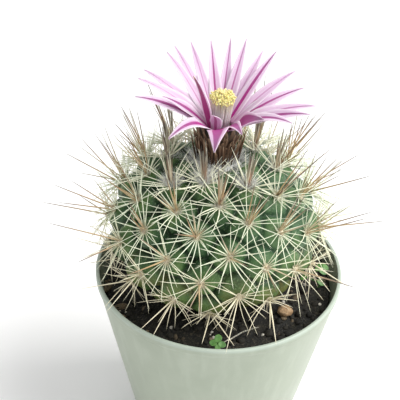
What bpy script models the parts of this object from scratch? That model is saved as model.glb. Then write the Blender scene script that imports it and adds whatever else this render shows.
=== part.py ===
"""A small round cactus in flower, growing in its nursery pot.

Metres, +Z up. The origin is the centre of the face that the pot rests on, and -Y is the front.
"""

import math
import random

import bmesh
import bpy
from mathutils import Euler, Matrix, Vector, noise

MM = 0.001
GAP = 0.3 * MM
TURN = 2 * math.pi
SEED = 11

# Pot: a thin moulded cup with a narrow band round its rim.
POT_HEIGHT = 49 * MM
POT_RIM_RADIUS = 27.5 * MM
POT_BASE_RADIUS = 18.3 * MM
POT_WALL = 0.85 * MM
POT_FLOOR = 1.2 * MM
POT_BAND_HEIGHT = 1.6 * MM
POT_BAND_STEP = 0.3 * MM
POT_EDGE = 0.3 * MM
POT_FOOT_ROUND = 0.9 * MM
POT_SEGMENTS = 56
DRAIN_HOLES = 4
DRAIN_RADIUS = 1.8 * MM
DRAIN_CIRCLE = 11.5 * MM

# Soil: it fills the pot to a little below the rim.
SOIL_LEVEL = POT_HEIGHT - 4.5 * MM
SOIL_RELIEF = 0.45 * MM
SOIL_GRAIN = 3.2 * MM
SOIL_RINGS = 7
SOIL_SEGMENTS = 44

# Stem: a flattened ball with one low tubercle under each cluster of spines.
STEM_CENTRE = Vector((-1.4, 1.8, 59.1)) * MM
STEM_TIP_RADIUS = 23.1 * MM
STEM_TIP_HALF_HEIGHT = 17.3 * MM
TUBERCLE_HEIGHT = 2.7 * MM
TUBERCLE_REACH = 5.6 * MM
STEM_ROOT_DEPTH = 17.5 * MM
CROWN_RADIUS = 7 * MM
CROWN_LEVEL = 75.0 * MM
STEM_SEGMENTS = 56
STEM_RINGS = 30

# Areoles: they follow each other round the stem by nearly the golden angle, in thirteen spiral ribs.
AREOLE_TURN = math.radians(137.366)
AREOLE_START = math.radians(287.5)
AREOLE_COUNT = 86.93
AREOLE_OFFSET = 3.0
AREOLE_SPREAD = 1.277
FIRST_AREOLE = 4
LAST_AREOLE = 70
RIBS = 13

# Spine clusters: a ring of short radials and one long central on each areole pad.
PAD_RADIUS = 1.1 * MM
PAD_HEIGHT = 0.6 * MM
PAD_GAP = 0.35 * MM
RADIALS = 7
RADIAL_LENGTH = 4.4 * MM
RADIAL_SHARE = 0.43
RADIAL_RISE = math.radians(17)
CENTRAL_LENGTH = (11 * MM, 15 * MM)
CENTRAL_CROWN_LENGTH = 7.5 * MM
CENTRAL_WIDTH = 0.4
CENTRAL_LIFT = 0.22
CROWN_LATITUDE = math.radians(42)
RIM_CLEARANCE = 3.5 * MM
STUB_LENGTH = 1.2 * MM
LINK_WAIST = 0.45

# Flower: a short tube that leans a little, two whorls of narrow petals, stamens and a style.
FLOWER_BASE = Vector((-1.4 * MM, 1.8 * MM, CROWN_LEVEL + GAP))
FLOWER_LEAN = math.radians(3)
TUBE_HEIGHT = 8.2 * MM
TUBE_BASE_RADIUS = 3.1 * MM
TUBE_WAIST_RADIUS = 2.9 * MM
TUBE_TOP_RADIUS = 3.9 * MM
TUBE_CUP_RADIUS = 2.0 * MM
TUBE_CUP_DEPTH = 1.6 * MM
TUBE_SEGMENTS = 20
PETALS_PER_WHORL = 12
PETAL_THICKNESS = 0.4 * MM
PETAL_ROWS = 5
OUTER_PETAL = {"length": 15.5 * MM, "width": 3.2 * MM, "base": 1.3 * MM, "rise": 23, "droop": 2.4 * MM}
INNER_PETAL = {"length": 16.0 * MM, "width": 2.9 * MM, "base": 0.85 * MM, "rise": 46, "droop": 1.6 * MM}
STAMEN_HEIGHT = 8.0 * MM
STAMEN_BASE_RADIUS = 1.35 * MM
STAMEN_TOP_RADIUS = 2.1 * MM
STAMEN_INNER_RADIUS = 0.75 * MM
ANTHER_HEIGHT = 2.2 * MM
STYLE_RADIUS = 0.4 * MM
STIGMA_RADIUS = 0.9 * MM

# Wool: a lumpy felt ring on the crown, round the foot of the flower tube.
WOOL_RADIUS = 5.0 * MM
WOOL_THICKNESS = 1.5 * MM
WOOL_FLATTENING = 0.6
WOOL_RELIEF = 0.35 * MM

# Small things on the soil, by their place in plan.
SEEDLING_FRONT_AT = Vector((-0.6 * MM, -22.6 * MM))
SEEDLING_SIDE_AT = Vector((22.3 * MM, -3.0 * MM))
PEBBLE_AT = Vector((14.4 * MM, -11.7 * MM))
ROOTLET_AT = Vector((4.6 * MM, -20.8 * MM))
LEAF_THICKNESS = 0.35 * MM
STALK_RADIUS = 0.3 * MM
PEBBLE_RADII = (1.7 * MM, 1.4 * MM, 1.1 * MM)
ROOTLET_RADIUS = 0.25 * MM
ROOTLET_LENGTH = 6.5 * MM

GREEN = (0.09, 0.17, 0.08)
SAGE = (0.52, 0.58, 0.50)
PEAT = (0.035, 0.028, 0.022)
WOOL = (0.72, 0.72, 0.64)
STRAW = (0.70, 0.60, 0.42)
MAROON_PINK = (0.62, 0.26, 0.50)
LILAC = (0.78, 0.48, 0.72)
BROWN_GREEN = (0.16, 0.11, 0.07)
YELLOW = (0.80, 0.66, 0.16)
PALE_PINK = (0.80, 0.56, 0.52)
LEAF_GREEN = (0.16, 0.42, 0.07)
OCHRE = (0.42, 0.27, 0.14)
PALE_ROOT = (0.66, 0.62, 0.50)


def clear_scene():
    """Remove every object, so that the model is all that the file holds."""
    for obj in list(bpy.data.objects):
        bpy.data.objects.remove(obj)


def new_collection(name):
    """Return a new collection in the scene."""
    collection = bpy.data.collections.new(name)
    bpy.context.scene.collection.children.link(collection)
    return collection


def new_material(name, colour, roughness, metallic=0.0):
    """Return a Principled material of one colour."""
    material = bpy.data.materials.new(name)
    material.use_nodes = True
    shader = material.node_tree.nodes["Principled BSDF"]
    shader.inputs["Base Color"].default_value = (*colour, 1)
    shader.inputs["Roughness"].default_value = roughness
    shader.inputs["Metallic"].default_value = metallic
    return material


def object_from_bmesh(name, bm, collection, material=None, smooth=True):
    """Turn a bmesh into a named object with outward faces."""
    bmesh.ops.recalc_face_normals(bm, faces=bm.faces)
    mesh = bpy.data.meshes.new(name)
    bm.to_mesh(mesh)
    bm.free()
    if smooth:
        mesh.shade_smooth()
        mesh.set_sharp_from_angle(angle=math.radians(40))
    obj = bpy.data.objects.new(name, mesh)
    collection.objects.link(obj)
    if material:
        mesh.materials.append(material)
    return obj


def turned_object(name, profile, segments, collection, material=None):
    """Turn a closed (radius, height) profile round Z with a Screw modifier."""
    mesh = bpy.data.meshes.new(name)
    points = [(radius, 0, height) for radius, height in profile]
    edges = [(i, i + 1) for i in range(len(points) - 1)]
    mesh.from_pydata(points, edges, [])
    obj = bpy.data.objects.new(name, mesh)
    collection.objects.link(obj)
    screw = obj.modifiers.new("turn", "SCREW")
    screw.axis = "Z"
    screw.steps = segments
    screw.render_steps = segments
    screw.use_merge_vertices = True
    screw.merge_threshold = 0.00001
    screw.use_smooth_shade = True
    if material:
        mesh.materials.append(material)
    return obj


def as_mesh(obj):
    """Replace an object's modifiers, or its curve, with the mesh they make."""
    graph = bpy.context.evaluated_depsgraph_get()
    mesh = bpy.data.meshes.new_from_object(obj.evaluated_get(graph))
    bm = bmesh.new()
    bm.from_mesh(mesh)
    bmesh.ops.remove_doubles(bm, verts=bm.verts, dist=0.00001)
    name = obj.name
    matrix = obj.matrix_world.copy()
    collection = obj.users_collection[0]
    material = mesh.materials[0] if mesh.materials else None
    bpy.data.objects.remove(obj)
    made = object_from_bmesh(name, bm, collection, material)
    made.matrix_world = matrix
    return made


def boolean(obj, other, operation, cutters):
    """Add a Boolean modifier and put the other object away as a helper."""
    modifier = obj.modifiers.new(operation.lower() + " " + other.name, "BOOLEAN")
    modifier.operation = operation
    modifier.object = other
    modifier.solver = "EXACT"
    for collection in other.users_collection:
        collection.objects.unlink(other)
    cutters.objects.link(other)
    other.hide_render = True
    other.display_type = "WIRE"


def make_pot(parts, cutters):
    """The cup, with drainage holes that keep clear of the middle of its base."""
    top = POT_RIM_RADIUS
    wall_top = POT_RIM_RADIUS - POT_BAND_STEP
    band_foot = POT_HEIGHT - POT_BAND_HEIGHT
    profile = [
        (top - POT_WALL / 2, POT_HEIGHT),
        (top - POT_EDGE / 2, POT_HEIGHT - POT_EDGE / 2),
        (top, POT_HEIGHT - POT_EDGE),
        (top, band_foot),
        (wall_top, band_foot - POT_BAND_STEP),
        (POT_BASE_RADIUS, POT_FOOT_ROUND),
        (POT_BASE_RADIUS - POT_FOOT_ROUND / 2, POT_FOOT_ROUND / 4),
        (POT_BASE_RADIUS - POT_FOOT_ROUND, 0),
        (0, 0),
        (0, POT_FLOOR),
        (POT_BASE_RADIUS - 2 * POT_WALL, POT_FLOOR),
        (POT_BASE_RADIUS - POT_WALL, POT_FLOOR + POT_WALL),
        (top - POT_WALL - POT_BAND_STEP, band_foot - POT_BAND_STEP),
        (top - POT_WALL, POT_HEIGHT - POT_EDGE),
        (top - POT_WALL / 2, POT_HEIGHT),
    ]
    sage = new_material("sage plastic", SAGE, 0.45)
    pot = as_mesh(turned_object("pot", profile, POT_SEGMENTS, parts, sage))
    for k in range(DRAIN_HOLES):
        angle = TURN * (k + 0.5) / DRAIN_HOLES
        bm = bmesh.new()
        place = Matrix.Translation((DRAIN_CIRCLE * math.cos(angle), DRAIN_CIRCLE * math.sin(angle), 0))
        bmesh.ops.create_cone(
            bm,
            cap_ends=True,
            segments=12,
            radius1=DRAIN_RADIUS,
            radius2=DRAIN_RADIUS,
            depth=4 * POT_FLOOR,
            matrix=place,
        )
        hole = object_from_bmesh(f"drain_{k + 1}", bm, cutters)
        boolean(pot, hole, "DIFFERENCE", cutters)
    return pot


def inner_radius(height):
    """The pot's inner radius at this height."""
    low = POT_FLOOR + POT_WALL
    high = POT_HEIGHT - POT_BAND_HEIGHT - POT_BAND_STEP
    share = (height - low) / (high - low)
    low_radius = POT_BASE_RADIUS - POT_WALL
    high_radius = POT_RIM_RADIUS - POT_WALL - POT_BAND_STEP
    return low_radius + share * (high_radius - low_radius)


def soil_height(x, y):
    """The height of the soil's uneven top at this place."""
    wave = noise.noise(Vector((x / SOIL_GRAIN, y / SOIL_GRAIN, 0.5)))
    return SOIL_LEVEL + SOIL_RELIEF * wave


def make_soil(parts, cutters):
    """The soil, with an uneven top and a hollow where the stem's foot sits."""
    foot = POT_FLOOR + GAP
    low_radius = POT_BASE_RADIUS - 2 * POT_WALL - GAP
    shoulder = foot + 2 * POT_WALL
    edge_level = SOIL_LEVEL - SOIL_RELIEF
    edge = inner_radius(edge_level) - GAP
    profile = [(0, SOIL_LEVEL)]
    for ring in range(1, SOIL_RINGS):
        profile.append((edge * ring / SOIL_RINGS, SOIL_LEVEL))
    profile.append((edge, edge_level))
    profile.append((inner_radius(shoulder) - GAP, shoulder))
    profile.append((low_radius, foot))
    profile.append((0, foot))
    peat = new_material("dark peat", PEAT, 0.95)
    soil = as_mesh(turned_object("soil", profile, SOIL_SEGMENTS, parts, peat))
    for vertex in soil.data.vertices:
        if vertex.co.z > edge_level + SOIL_RELIEF / 2:
            vertex.co.z = soil_height(vertex.co.x, vertex.co.y)
    bm = bmesh.new()
    base = STEM_TIP_RADIUS - TUBERCLE_HEIGHT
    size = Matrix.Diagonal((base + 3 * GAP, base + 3 * GAP, STEM_ROOT_DEPTH + GAP, 1))
    place = Matrix.Translation(STEM_CENTRE)
    bmesh.ops.create_uvsphere(bm, u_segments=32, v_segments=20, radius=1, matrix=place @ size)
    boolean(soil, object_from_bmesh("stem_socket", bm, cutters), "DIFFERENCE", cutters)
    return soil


def areole_direction(index):
    """The unit direction from the stem's centre, on a unit ball, of one areole."""
    share = min((index + AREOLE_OFFSET) / AREOLE_COUNT, 1)
    polar = math.pi * (math.acos(1 - 2 * share) / math.pi) ** AREOLE_SPREAD
    around = AREOLE_START + index * AREOLE_TURN
    level = math.sin(polar)
    return Vector((level * math.cos(around), level * math.sin(around), math.cos(polar)))


def on_tips(direction):
    """The point of the ellipsoid through the tubercles' tips, from the stem's centre."""
    x, y, z = direction
    return Vector((STEM_TIP_RADIUS * x, STEM_TIP_RADIUS * y, STEM_TIP_HALF_HEIGHT * z))


def tip_normal(direction):
    """The outward normal of that ellipsoid."""
    x, y, z = direction
    return Vector((x / STEM_TIP_RADIUS, y / STEM_TIP_RADIUS, z / STEM_TIP_HALF_HEIGHT)).normalized()


def make_stem(parts):
    """The green body: a ball drawn out to a dome at each areole and flattened at its crown."""
    tips = [on_tips(areole_direction(i)) for i in range(LAST_AREOLE + 1)]
    bm = bmesh.new()
    bmesh.ops.create_uvsphere(bm, u_segments=STEM_SEGMENTS, v_segments=STEM_RINGS, radius=1)
    for vertex in bm.verts:
        direction = vertex.co.normalized()
        tip = on_tips(direction)
        nearest = min((tip - other).length for other in tips)
        dome = max(0.0, 1 - (nearest / TUBERCLE_REACH) ** 2)
        body = tip - TUBERCLE_HEIGHT * tip_normal(direction)
        if direction.z < 0:
            body.z = min(body.z, direction.z * STEM_ROOT_DEPTH)
        place = body.lerp(tip, dome)
        crown = CROWN_LEVEL - STEM_CENTRE.z
        flat = 1 - min(1, Vector((place.x, place.y)).length / CROWN_RADIUS) ** 4
        if place.z > crown:
            place.z += (crown - place.z) * flat
        vertex.co = place
    stem = object_from_bmesh("stem", bm, parts, new_material("green skin", GREEN, 0.6))
    stem.location = STEM_CENTRE
    return stem


def add_cluster(bm, index, spacing, rng):
    """Add one areole pad with its spines, and return its side faces that carry no spine yet."""
    direction = areole_direction(index)
    normal = tip_normal(direction)
    centre = STEM_CENTRE + on_tips(direction) + normal * (PAD_GAP + PAD_HEIGHT / 2)
    turn = normal.to_track_quat("Z", "Y").to_matrix().to_4x4()
    made = bmesh.ops.create_cone(
        bm,
        cap_ends=True,
        segments=RADIALS,
        radius1=PAD_RADIUS,
        radius2=PAD_RADIUS,
        depth=PAD_HEIGHT,
        matrix=Matrix.Translation(centre) @ turn,
    )
    bm.faces.index_update()
    found = {face for vertex in made["verts"] for face in vertex.link_faces}
    faces = sorted(found, key=lambda face: face.index)
    sides = [face for face in faces if len(face.verts) == 4]
    top = max(faces, key=lambda face: (face.calc_center_median() - centre).dot(normal))

    height = centre.z - POT_HEIGHT
    polar = math.acos(max(-1, min(1, direction.z)))
    length = rng.uniform(*CENTRAL_LENGTH)
    if polar < CROWN_LATITUDE:
        length = CENTRAL_CROWN_LENGTH
    if height < RIM_CLEARANCE:
        length = STUB_LENGTH
    outward = (normal + Vector((0, 0, CENTRAL_LIFT))).normalized()
    bmesh.ops.inset_individual(bm, faces=[top], thickness=PAD_RADIUS * (1 - CENTRAL_WIDTH))
    tip = bmesh.ops.poke(bm, faces=[top])
    for vertex in tip["verts"]:
        vertex.co = centre + outward * length
    radial = min(RADIAL_LENGTH, RADIAL_SHARE * spacing)
    return {"centre": centre, "normal": normal, "sides": sides, "radial": radial}


def face_towards(cluster, target):
    """Take from a cluster the side face that looks most nearly at a point."""
    aim = (target - cluster["centre"]).normalized()
    best = max(cluster["sides"], key=lambda face: face.normal.dot(aim))
    cluster["sides"].remove(best)
    return best


def link_clusters(bm, first, second):
    """Join two clusters with the pair of radials that meet between them."""
    one = face_towards(first, second["centre"])
    two = face_towards(second, first["centre"])
    edges = list(one.edges) + list(two.edges)
    bmesh.ops.delete(bm, geom=[one, two], context="FACES_ONLY")
    bridge = bmesh.ops.bridge_loops(bm, edges=edges)
    bm.edges.index_update()
    found = {edge for face in bridge["faces"] for edge in face.edges} - set(edges)
    along = sorted(found, key=lambda edge: edge.index)
    cut = bmesh.ops.subdivide_edges(bm, edges=along, cuts=1)
    waist = [item for item in cut["geom_inner"] if isinstance(item, bmesh.types.BMVert)]
    middle = sum((vertex.co for vertex in waist), Vector()) / len(waist)
    for vertex in waist:
        vertex.co = middle.lerp(vertex.co, LINK_WAIST)


def add_radials(bm, cluster):
    """Draw each free side face of a pad out to a point."""
    for face in list(cluster["sides"]):
        aim = (face.normal + cluster["normal"] * math.tan(RADIAL_RISE)).normalized()
        start = face.calc_center_median()
        tip = bmesh.ops.poke(bm, faces=[face])
        for vertex in tip["verts"]:
            vertex.co = start + aim * cluster["radial"]


def make_spine_rows(parts):
    """One object for each rib: its spine clusters, joined where their radials meet."""
    straw = new_material("straw spines", STRAW, 0.5)
    rng = random.Random(SEED)
    numbers = range(FIRST_AREOLE, LAST_AREOLE + 1)
    tips = {i: on_tips(areole_direction(i)) for i in numbers}
    rows = []
    for rib in range(RIBS):
        bm = bmesh.new()
        clusters = []
        for index in [i for i in numbers if i % RIBS == rib]:
            spacing = min((tips[index] - tips[i]).length for i in numbers if i != index)
            clusters.append(add_cluster(bm, index, spacing, rng))
        bm.normal_update()
        for first, second in zip(clusters, clusters[1:]):
            link_clusters(bm, first, second)
        for cluster in clusters:
            add_radials(bm, cluster)
        rows.append(object_from_bmesh(f"spine_row_{rib + 1:02d}", bm, parts, straw, smooth=False))
    return rows


def make_wool(parts):
    """The felt ring, its thickness uneven."""
    bpy.ops.mesh.primitive_torus_add(
        major_radius=WOOL_RADIUS,
        minor_radius=WOOL_THICKNESS,
        major_segments=24,
        minor_segments=8,
    )
    wool = bpy.context.object
    wool.name = "crown_wool"
    for collection in wool.users_collection:
        collection.objects.unlink(wool)
    parts.objects.link(wool)
    for vertex in wool.data.vertices:
        lump = noise.noise(vertex.co / (2 * WOOL_THICKNESS))
        outward = Vector((vertex.co.x, vertex.co.y, 0)).normalized()
        if vertex.co.z > 0:
            vertex.co += outward * max(0, lump) * WOOL_RELIEF
        vertex.co.z *= WOOL_FLATTENING
    wool.data.shade_smooth()
    wool.data.materials.append(new_material("white wool", WOOL, 0.95))
    wool.location = FLOWER_BASE + Vector((0, 0, WOOL_THICKNESS * WOOL_FLATTENING + GAP / 2))
    return wool


def make_flower_tube(parts):
    """The scaly green-brown tube that carries the flower, with a shallow cup in its top."""
    profile = [
        (TUBE_CUP_RADIUS, TUBE_HEIGHT),
        (TUBE_TOP_RADIUS, TUBE_HEIGHT),
        (TUBE_TOP_RADIUS, TUBE_HEIGHT * 0.86),
        (TUBE_WAIST_RADIUS, TUBE_HEIGHT * 0.35),
        (TUBE_BASE_RADIUS, 0),
        (0, 0),
        (0, TUBE_HEIGHT - TUBE_CUP_DEPTH),
        (TUBE_CUP_RADIUS, TUBE_HEIGHT - TUBE_CUP_DEPTH),
        (TUBE_CUP_RADIUS, TUBE_HEIGHT),
    ]
    skin = new_material("brown green tube", BROWN_GREEN, 0.6)
    return turned_object("flower_tube", profile, TUBE_SEGMENTS, parts, skin)


def make_petal(name, shape, rng, parts, material):
    """A narrow pointed petal, channelled along its middle and arched along its length."""
    length = shape["length"] * rng.uniform(0.92, 1.08)
    droop = shape["droop"] * rng.uniform(0.6, 1.5)
    bm = bmesh.new()
    bmesh.ops.create_grid(bm, x_segments=PETAL_ROWS, y_segments=2, size=1)
    for vertex in bm.verts:
        along = (vertex.co.x + 1) / 2
        side = vertex.co.y
        swell = math.sin(math.pi * min(1, along * 0.9 + 0.1)) ** 0.7
        half = (shape["base"] * (1 - along) + shape["width"] * swell * along) / 2
        half = half * (1 - along ** 6) + 0.05 * MM
        rise = 1.6 * droop * (along - along ** 2) - droop * along ** 3
        channel = 0.18 * half * side * side
        vertex.co = Vector((length * along, half * side, rise + channel))
    petal = object_from_bmesh(name, bm, parts, material)
    thick = petal.modifiers.new("thickness", "SOLIDIFY")
    thick.thickness = PETAL_THICKNESS
    thick.offset = 0
    return petal


def make_petals(parts, head):
    """Two whorls of petals, the inner one steeper and set between the outer ones."""
    maroon = new_material("outer petal pink", MAROON_PINK, 0.5)
    lilac = new_material("inner petal lilac", LILAC, 0.5)
    rng = random.Random(SEED + 1)
    whorls = (
        ("outer_petal", OUTER_PETAL, maroon, TUBE_TOP_RADIUS + 2 * GAP, TUBE_HEIGHT * 0.9, 0.0),
        ("inner_petal", INNER_PETAL, lilac, TUBE_CUP_RADIUS + PETAL_THICKNESS, TUBE_HEIGHT + 2 * GAP, 0.5),
    )
    for prefix, shape, material, radius, height, shift in whorls:
        for k in range(PETALS_PER_WHORL):
            around = TURN * (k + shift) / PETALS_PER_WHORL + math.radians(rng.uniform(-3, 3))
            rise = math.radians(shape["rise"] + rng.uniform(-4, 4))
            petal = make_petal(f"{prefix}_{k + 1:02d}", shape, rng, parts, material)
            petal.parent = head
            petal.rotation_euler = Euler((0, -rise, around))
            petal.location = (radius * math.cos(around), radius * math.sin(around), height)


def make_stamens(parts, head):
    """The bundle of filaments with its cap of anthers, hollow round the style."""
    start = TUBE_HEIGHT - TUBE_CUP_DEPTH + GAP
    neck = start + STAMEN_HEIGHT - ANTHER_HEIGHT
    profile = [
        (STAMEN_INNER_RADIUS, start + STAMEN_HEIGHT),
        (STAMEN_TOP_RADIUS * 0.8, start + STAMEN_HEIGHT),
        (STAMEN_TOP_RADIUS, start + STAMEN_HEIGHT - ANTHER_HEIGHT * 0.4),
        (STAMEN_TOP_RADIUS * 0.92, neck),
        (STAMEN_BASE_RADIUS, start),
        (STAMEN_INNER_RADIUS, start),
        (STAMEN_INNER_RADIUS, start + STAMEN_HEIGHT),
    ]
    yellow = new_material("yellow anthers", YELLOW, 0.7)
    stamens = turned_object("stamens", profile, 14, parts, yellow)
    stamens.parent = head
    profile = [
        (0, start + STAMEN_HEIGHT + STIGMA_RADIUS),
        (STIGMA_RADIUS, start + STAMEN_HEIGHT + STIGMA_RADIUS * 0.8),
        (STIGMA_RADIUS, start + STAMEN_HEIGHT + GAP),
        (STYLE_RADIUS, start + STAMEN_HEIGHT + GAP / 2),
        (STYLE_RADIUS, start),
        (0, start),
    ]
    style = turned_object("style", profile, 10, parts, new_material("pale pink style", PALE_PINK, 0.6))
    style.parent = head


def make_leaf(name, centre, radii, tilt, parts):
    """A small flat oval leaf."""
    bm = bmesh.new()
    turn = Euler(tilt).to_matrix().to_4x4()
    size = Matrix.Diagonal((radii[0], radii[1], LEAF_THICKNESS, 1))
    place = Matrix.Translation(centre) @ turn @ size
    bmesh.ops.create_uvsphere(bm, u_segments=8, v_segments=5, radius=1, matrix=place)
    return object_from_bmesh(name, bm, parts)


def tube_along(name, points, radius, parts, material):
    """A thin round stem through points, as a closed mesh."""
    curve = bpy.data.curves.new(name, "CURVE")
    curve.dimensions = "3D"
    curve.bevel_depth = radius
    curve.bevel_resolution = 1
    curve.use_fill_caps = True
    spline = curve.splines.new("POLY")
    spline.points.add(len(points) - 1)
    for point, place in zip(spline.points, points):
        point.co = (*place, 1)
    curve.materials.append(material)
    obj = bpy.data.objects.new(name, curve)
    parts.objects.link(obj)
    return as_mesh(obj)


def make_seedling(name, place, height, lean, leaves, parts, cutters, material):
    """A seedling weed: a bowed stalk and a few oval leaves joined to its top."""
    ground = soil_height(place.x, place.y) + GAP
    top = Vector((place.x + lean.x, place.y + lean.y, ground + height))
    foot = Vector((place.x, place.y, ground))
    bow = foot.lerp(top, 0.5) + Vector((lean.y, -lean.x, 0)) * 0.25
    points = []
    for step in range(5):
        share = step / 4
        points.append(foot.lerp(bow, share).lerp(bow.lerp(top, share), share))
    seedling = tube_along(name, points, STALK_RADIUS, parts, material)
    for k in range(leaves):
        around = TURN * k / leaves + 0.5
        offset = Vector((math.cos(around), math.sin(around), 0.25)) * 0.9 * MM
        radii = (1.15 * MM, 0.9 * MM)
        leaf = make_leaf(f"{name}_leaf_{k + 1}", top + offset, radii, (0, -0.25, around), cutters)
        boolean(seedling, leaf, "UNION", cutters)
    return seedling


def make_soil_finds(parts, cutters):
    """The two weeds, a pebble and a dry rootlet that lie in the gap round the stem."""
    green = new_material("seedling green", LEAF_GREEN, 0.5)
    lean = Vector((0.3 * MM, -0.5 * MM))
    make_seedling("seedling_front", SEEDLING_FRONT_AT, 1.8 * MM, lean, 3, parts, cutters, green)
    lean = Vector((-0.6 * MM, 1.2 * MM))
    make_seedling("seedling_side", SEEDLING_SIDE_AT, 4.6 * MM, lean, 2, parts, cutters, green)

    bm = bmesh.new()
    bmesh.ops.create_icosphere(bm, subdivisions=2, radius=1, matrix=Matrix.Diagonal((*PEBBLE_RADII, 1)))
    pebble = object_from_bmesh("pebble", bm, parts, new_material("ochre stone", OCHRE, 0.8))
    ground = soil_height(PEBBLE_AT.x, PEBBLE_AT.y) + GAP + PEBBLE_RADII[2]
    pebble.location = (PEBBLE_AT.x, PEBBLE_AT.y, ground)

    points = []
    for step in range(7):
        share = step / 6
        x = ROOTLET_AT.x + ROOTLET_LENGTH * (share - 0.5)
        y = ROOTLET_AT.y + ROOTLET_LENGTH * 0.35 * math.sin(2.2 * share)
        points.append(Vector((x, y, soil_height(x, y) + GAP + 1.5 * ROOTLET_RADIUS)))
    tube_along("rootlet", points, ROOTLET_RADIUS, parts, new_material("pale root", PALE_ROOT, 0.8))


def main():
    clear_scene()
    parts = new_collection("potted_round_cactus")
    cutters = new_collection("cutters")
    make_pot(parts, cutters)
    make_soil(parts, cutters)
    make_stem(parts)
    make_spine_rows(parts)
    make_wool(parts)
    head = bpy.data.objects.new("flower_head", None)
    parts.objects.link(head)
    head.location = FLOWER_BASE
    head.rotation_euler = (0, FLOWER_LEAN, 0)
    make_flower_tube(parts).parent = head
    make_petals(parts, head)
    make_stamens(parts, head)
    make_soil_finds(parts, cutters)


main()
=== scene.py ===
# %% [markdown]
# # A small round cactus in flower
#
# A spiny ball of a plant grows in a pale nursery pot. It carries one pink flower on its crown.
# The engineering model gives every piece its size and place. This lesson gives each piece its fine
# shape and its finish, from the pot upwards.

import math
import random

import bmesh
import bpy
import numpy as np
from mathutils import Euler, Matrix, Vector, noise
from mathutils.kdtree import KDTree


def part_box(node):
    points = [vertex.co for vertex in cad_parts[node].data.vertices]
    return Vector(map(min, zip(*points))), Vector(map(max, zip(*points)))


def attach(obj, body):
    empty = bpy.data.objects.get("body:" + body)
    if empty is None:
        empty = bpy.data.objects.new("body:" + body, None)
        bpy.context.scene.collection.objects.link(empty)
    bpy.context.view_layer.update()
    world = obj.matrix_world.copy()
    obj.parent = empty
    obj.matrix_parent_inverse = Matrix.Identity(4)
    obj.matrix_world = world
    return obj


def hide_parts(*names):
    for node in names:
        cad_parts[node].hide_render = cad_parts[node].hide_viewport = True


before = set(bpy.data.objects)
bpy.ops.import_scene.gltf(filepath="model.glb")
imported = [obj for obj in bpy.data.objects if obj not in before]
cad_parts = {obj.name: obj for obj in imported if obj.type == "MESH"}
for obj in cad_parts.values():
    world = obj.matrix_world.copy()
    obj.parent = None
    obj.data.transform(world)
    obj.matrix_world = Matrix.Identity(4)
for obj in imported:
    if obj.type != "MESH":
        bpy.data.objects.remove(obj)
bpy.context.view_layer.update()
MM = 0.001
TURN = 2 * math.pi
UP = Vector((0, 0, 1))

# %% [markdown]
# ## Helpers for pieces
#
# Every piece ends the same way: a bmesh becomes an object that sits at the origin, with its place in its
# mesh, rides on the one body, and hides the engineering node it stands for. One helper does that, so each
# later cell only makes a shape.

# %% Piece helpers
def finish_piece(name, bm, materials, replaces=(), recalculate=True):
    """Turn a bmesh into a finished piece that rides on the root body."""
    if recalculate:
        bmesh.ops.recalc_face_normals(bm, faces=bm.faces)
    mesh = bpy.data.meshes.new(name)
    bm.to_mesh(mesh)
    bm.free()
    mesh.shade_smooth()
    for material in materials:
        mesh.materials.append(material)
    piece = bpy.data.objects.new(name, mesh)
    bpy.context.scene.collection.objects.link(piece)
    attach(piece, "root")
    if replaces:
        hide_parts(*replaces)
    return piece


def spun(bm, profile, steps):
    """Spin a (radius, height) profile all the way round Z."""
    verts = [bm.verts.new((radius, 0, height)) for radius, height in profile]
    edges = [bm.edges.new(pair) for pair in zip(verts, verts[1:])]
    bmesh.ops.spin(
        bm,
        geom=verts + edges,
        cent=(0, 0, 0),
        axis=(0, 0, 1),
        angle=TURN,
        steps=steps,
        use_merge=True,
    )
    bmesh.ops.remove_doubles(bm, verts=bm.verts, dist=0.01 * MM)


def outward(angle):
    """The level direction with this bearing, in radians."""
    return Vector((math.cos(angle), math.sin(angle), 0))


def box_of(node_name):
    """The low corner, the high corner and the middle of an engineering node's box."""
    low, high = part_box(node_name)
    return low, high, Vector([(a + b) / 2 for a, b in zip(low, high)])


def smoothstep(low, high, value):
    """Rise smoothly from 0 at low to 1 at high."""
    share = max(0.0, min(1.0, (value - low) / (high - low)))
    return share * share * (3 - 2 * share)


# %% [markdown]
# Spines, hairs, anthers and crumbs are each one small shape repeated many times. The shape is made once as
# a pattern. A copy is the pattern with its points moved, and each copy carries a few numbers that its
# finish can read, such as its age.

# %% Pattern helpers
NUMBERS = ("along", "age", "brown")


def make_pattern(name, bm):
    """Keep a bmesh as a pattern: its mesh, and the places of its points as an array."""
    mesh = bpy.data.meshes.new(name)
    bm.to_mesh(mesh)
    bm.free()
    for number in NUMBERS:
        mesh.attributes.new(number, "FLOAT", "POINT")
    places = np.empty(len(mesh.vertices) * 3, np.float32)
    mesh.vertices.foreach_get("co", places)
    return mesh, places.reshape(-1, 3)


def new_piece():
    """Return an empty bmesh whose points can carry the numbers."""
    bm = bmesh.new()
    for number in NUMBERS:
        bm.verts.layers.float.new(number)
    return bm


def add_copy(bm, pattern, places, along, age=0.0, brown=0.0):
    """Add a copy of a pattern with its points at the given places, in metres."""
    mesh = pattern[0]
    mesh.vertices.foreach_set("co", np.ascontiguousarray(places, np.float32).ravel())
    for number, value in zip(NUMBERS, (along, age, brown)):
        values = np.broadcast_to(np.asarray(value, np.float32), len(places))
        mesh.attributes[number].data.foreach_set("value", np.ascontiguousarray(values))
    bm.from_mesh(mesh)


def placed(pattern, matrix):
    """The places of a pattern's points after a 4 x 4 matrix."""
    grid = np.array(matrix)
    return pattern[1] @ grid[:3, :3].T + grid[:3, 3]


# %% [markdown]
# ## Helpers for finishes
#
# A finish is a small tree of nodes. These helpers place a node and set its values in one line, so that a
# material reads like a recipe: where the pattern comes from, how it is mixed, and what it drives.

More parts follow.
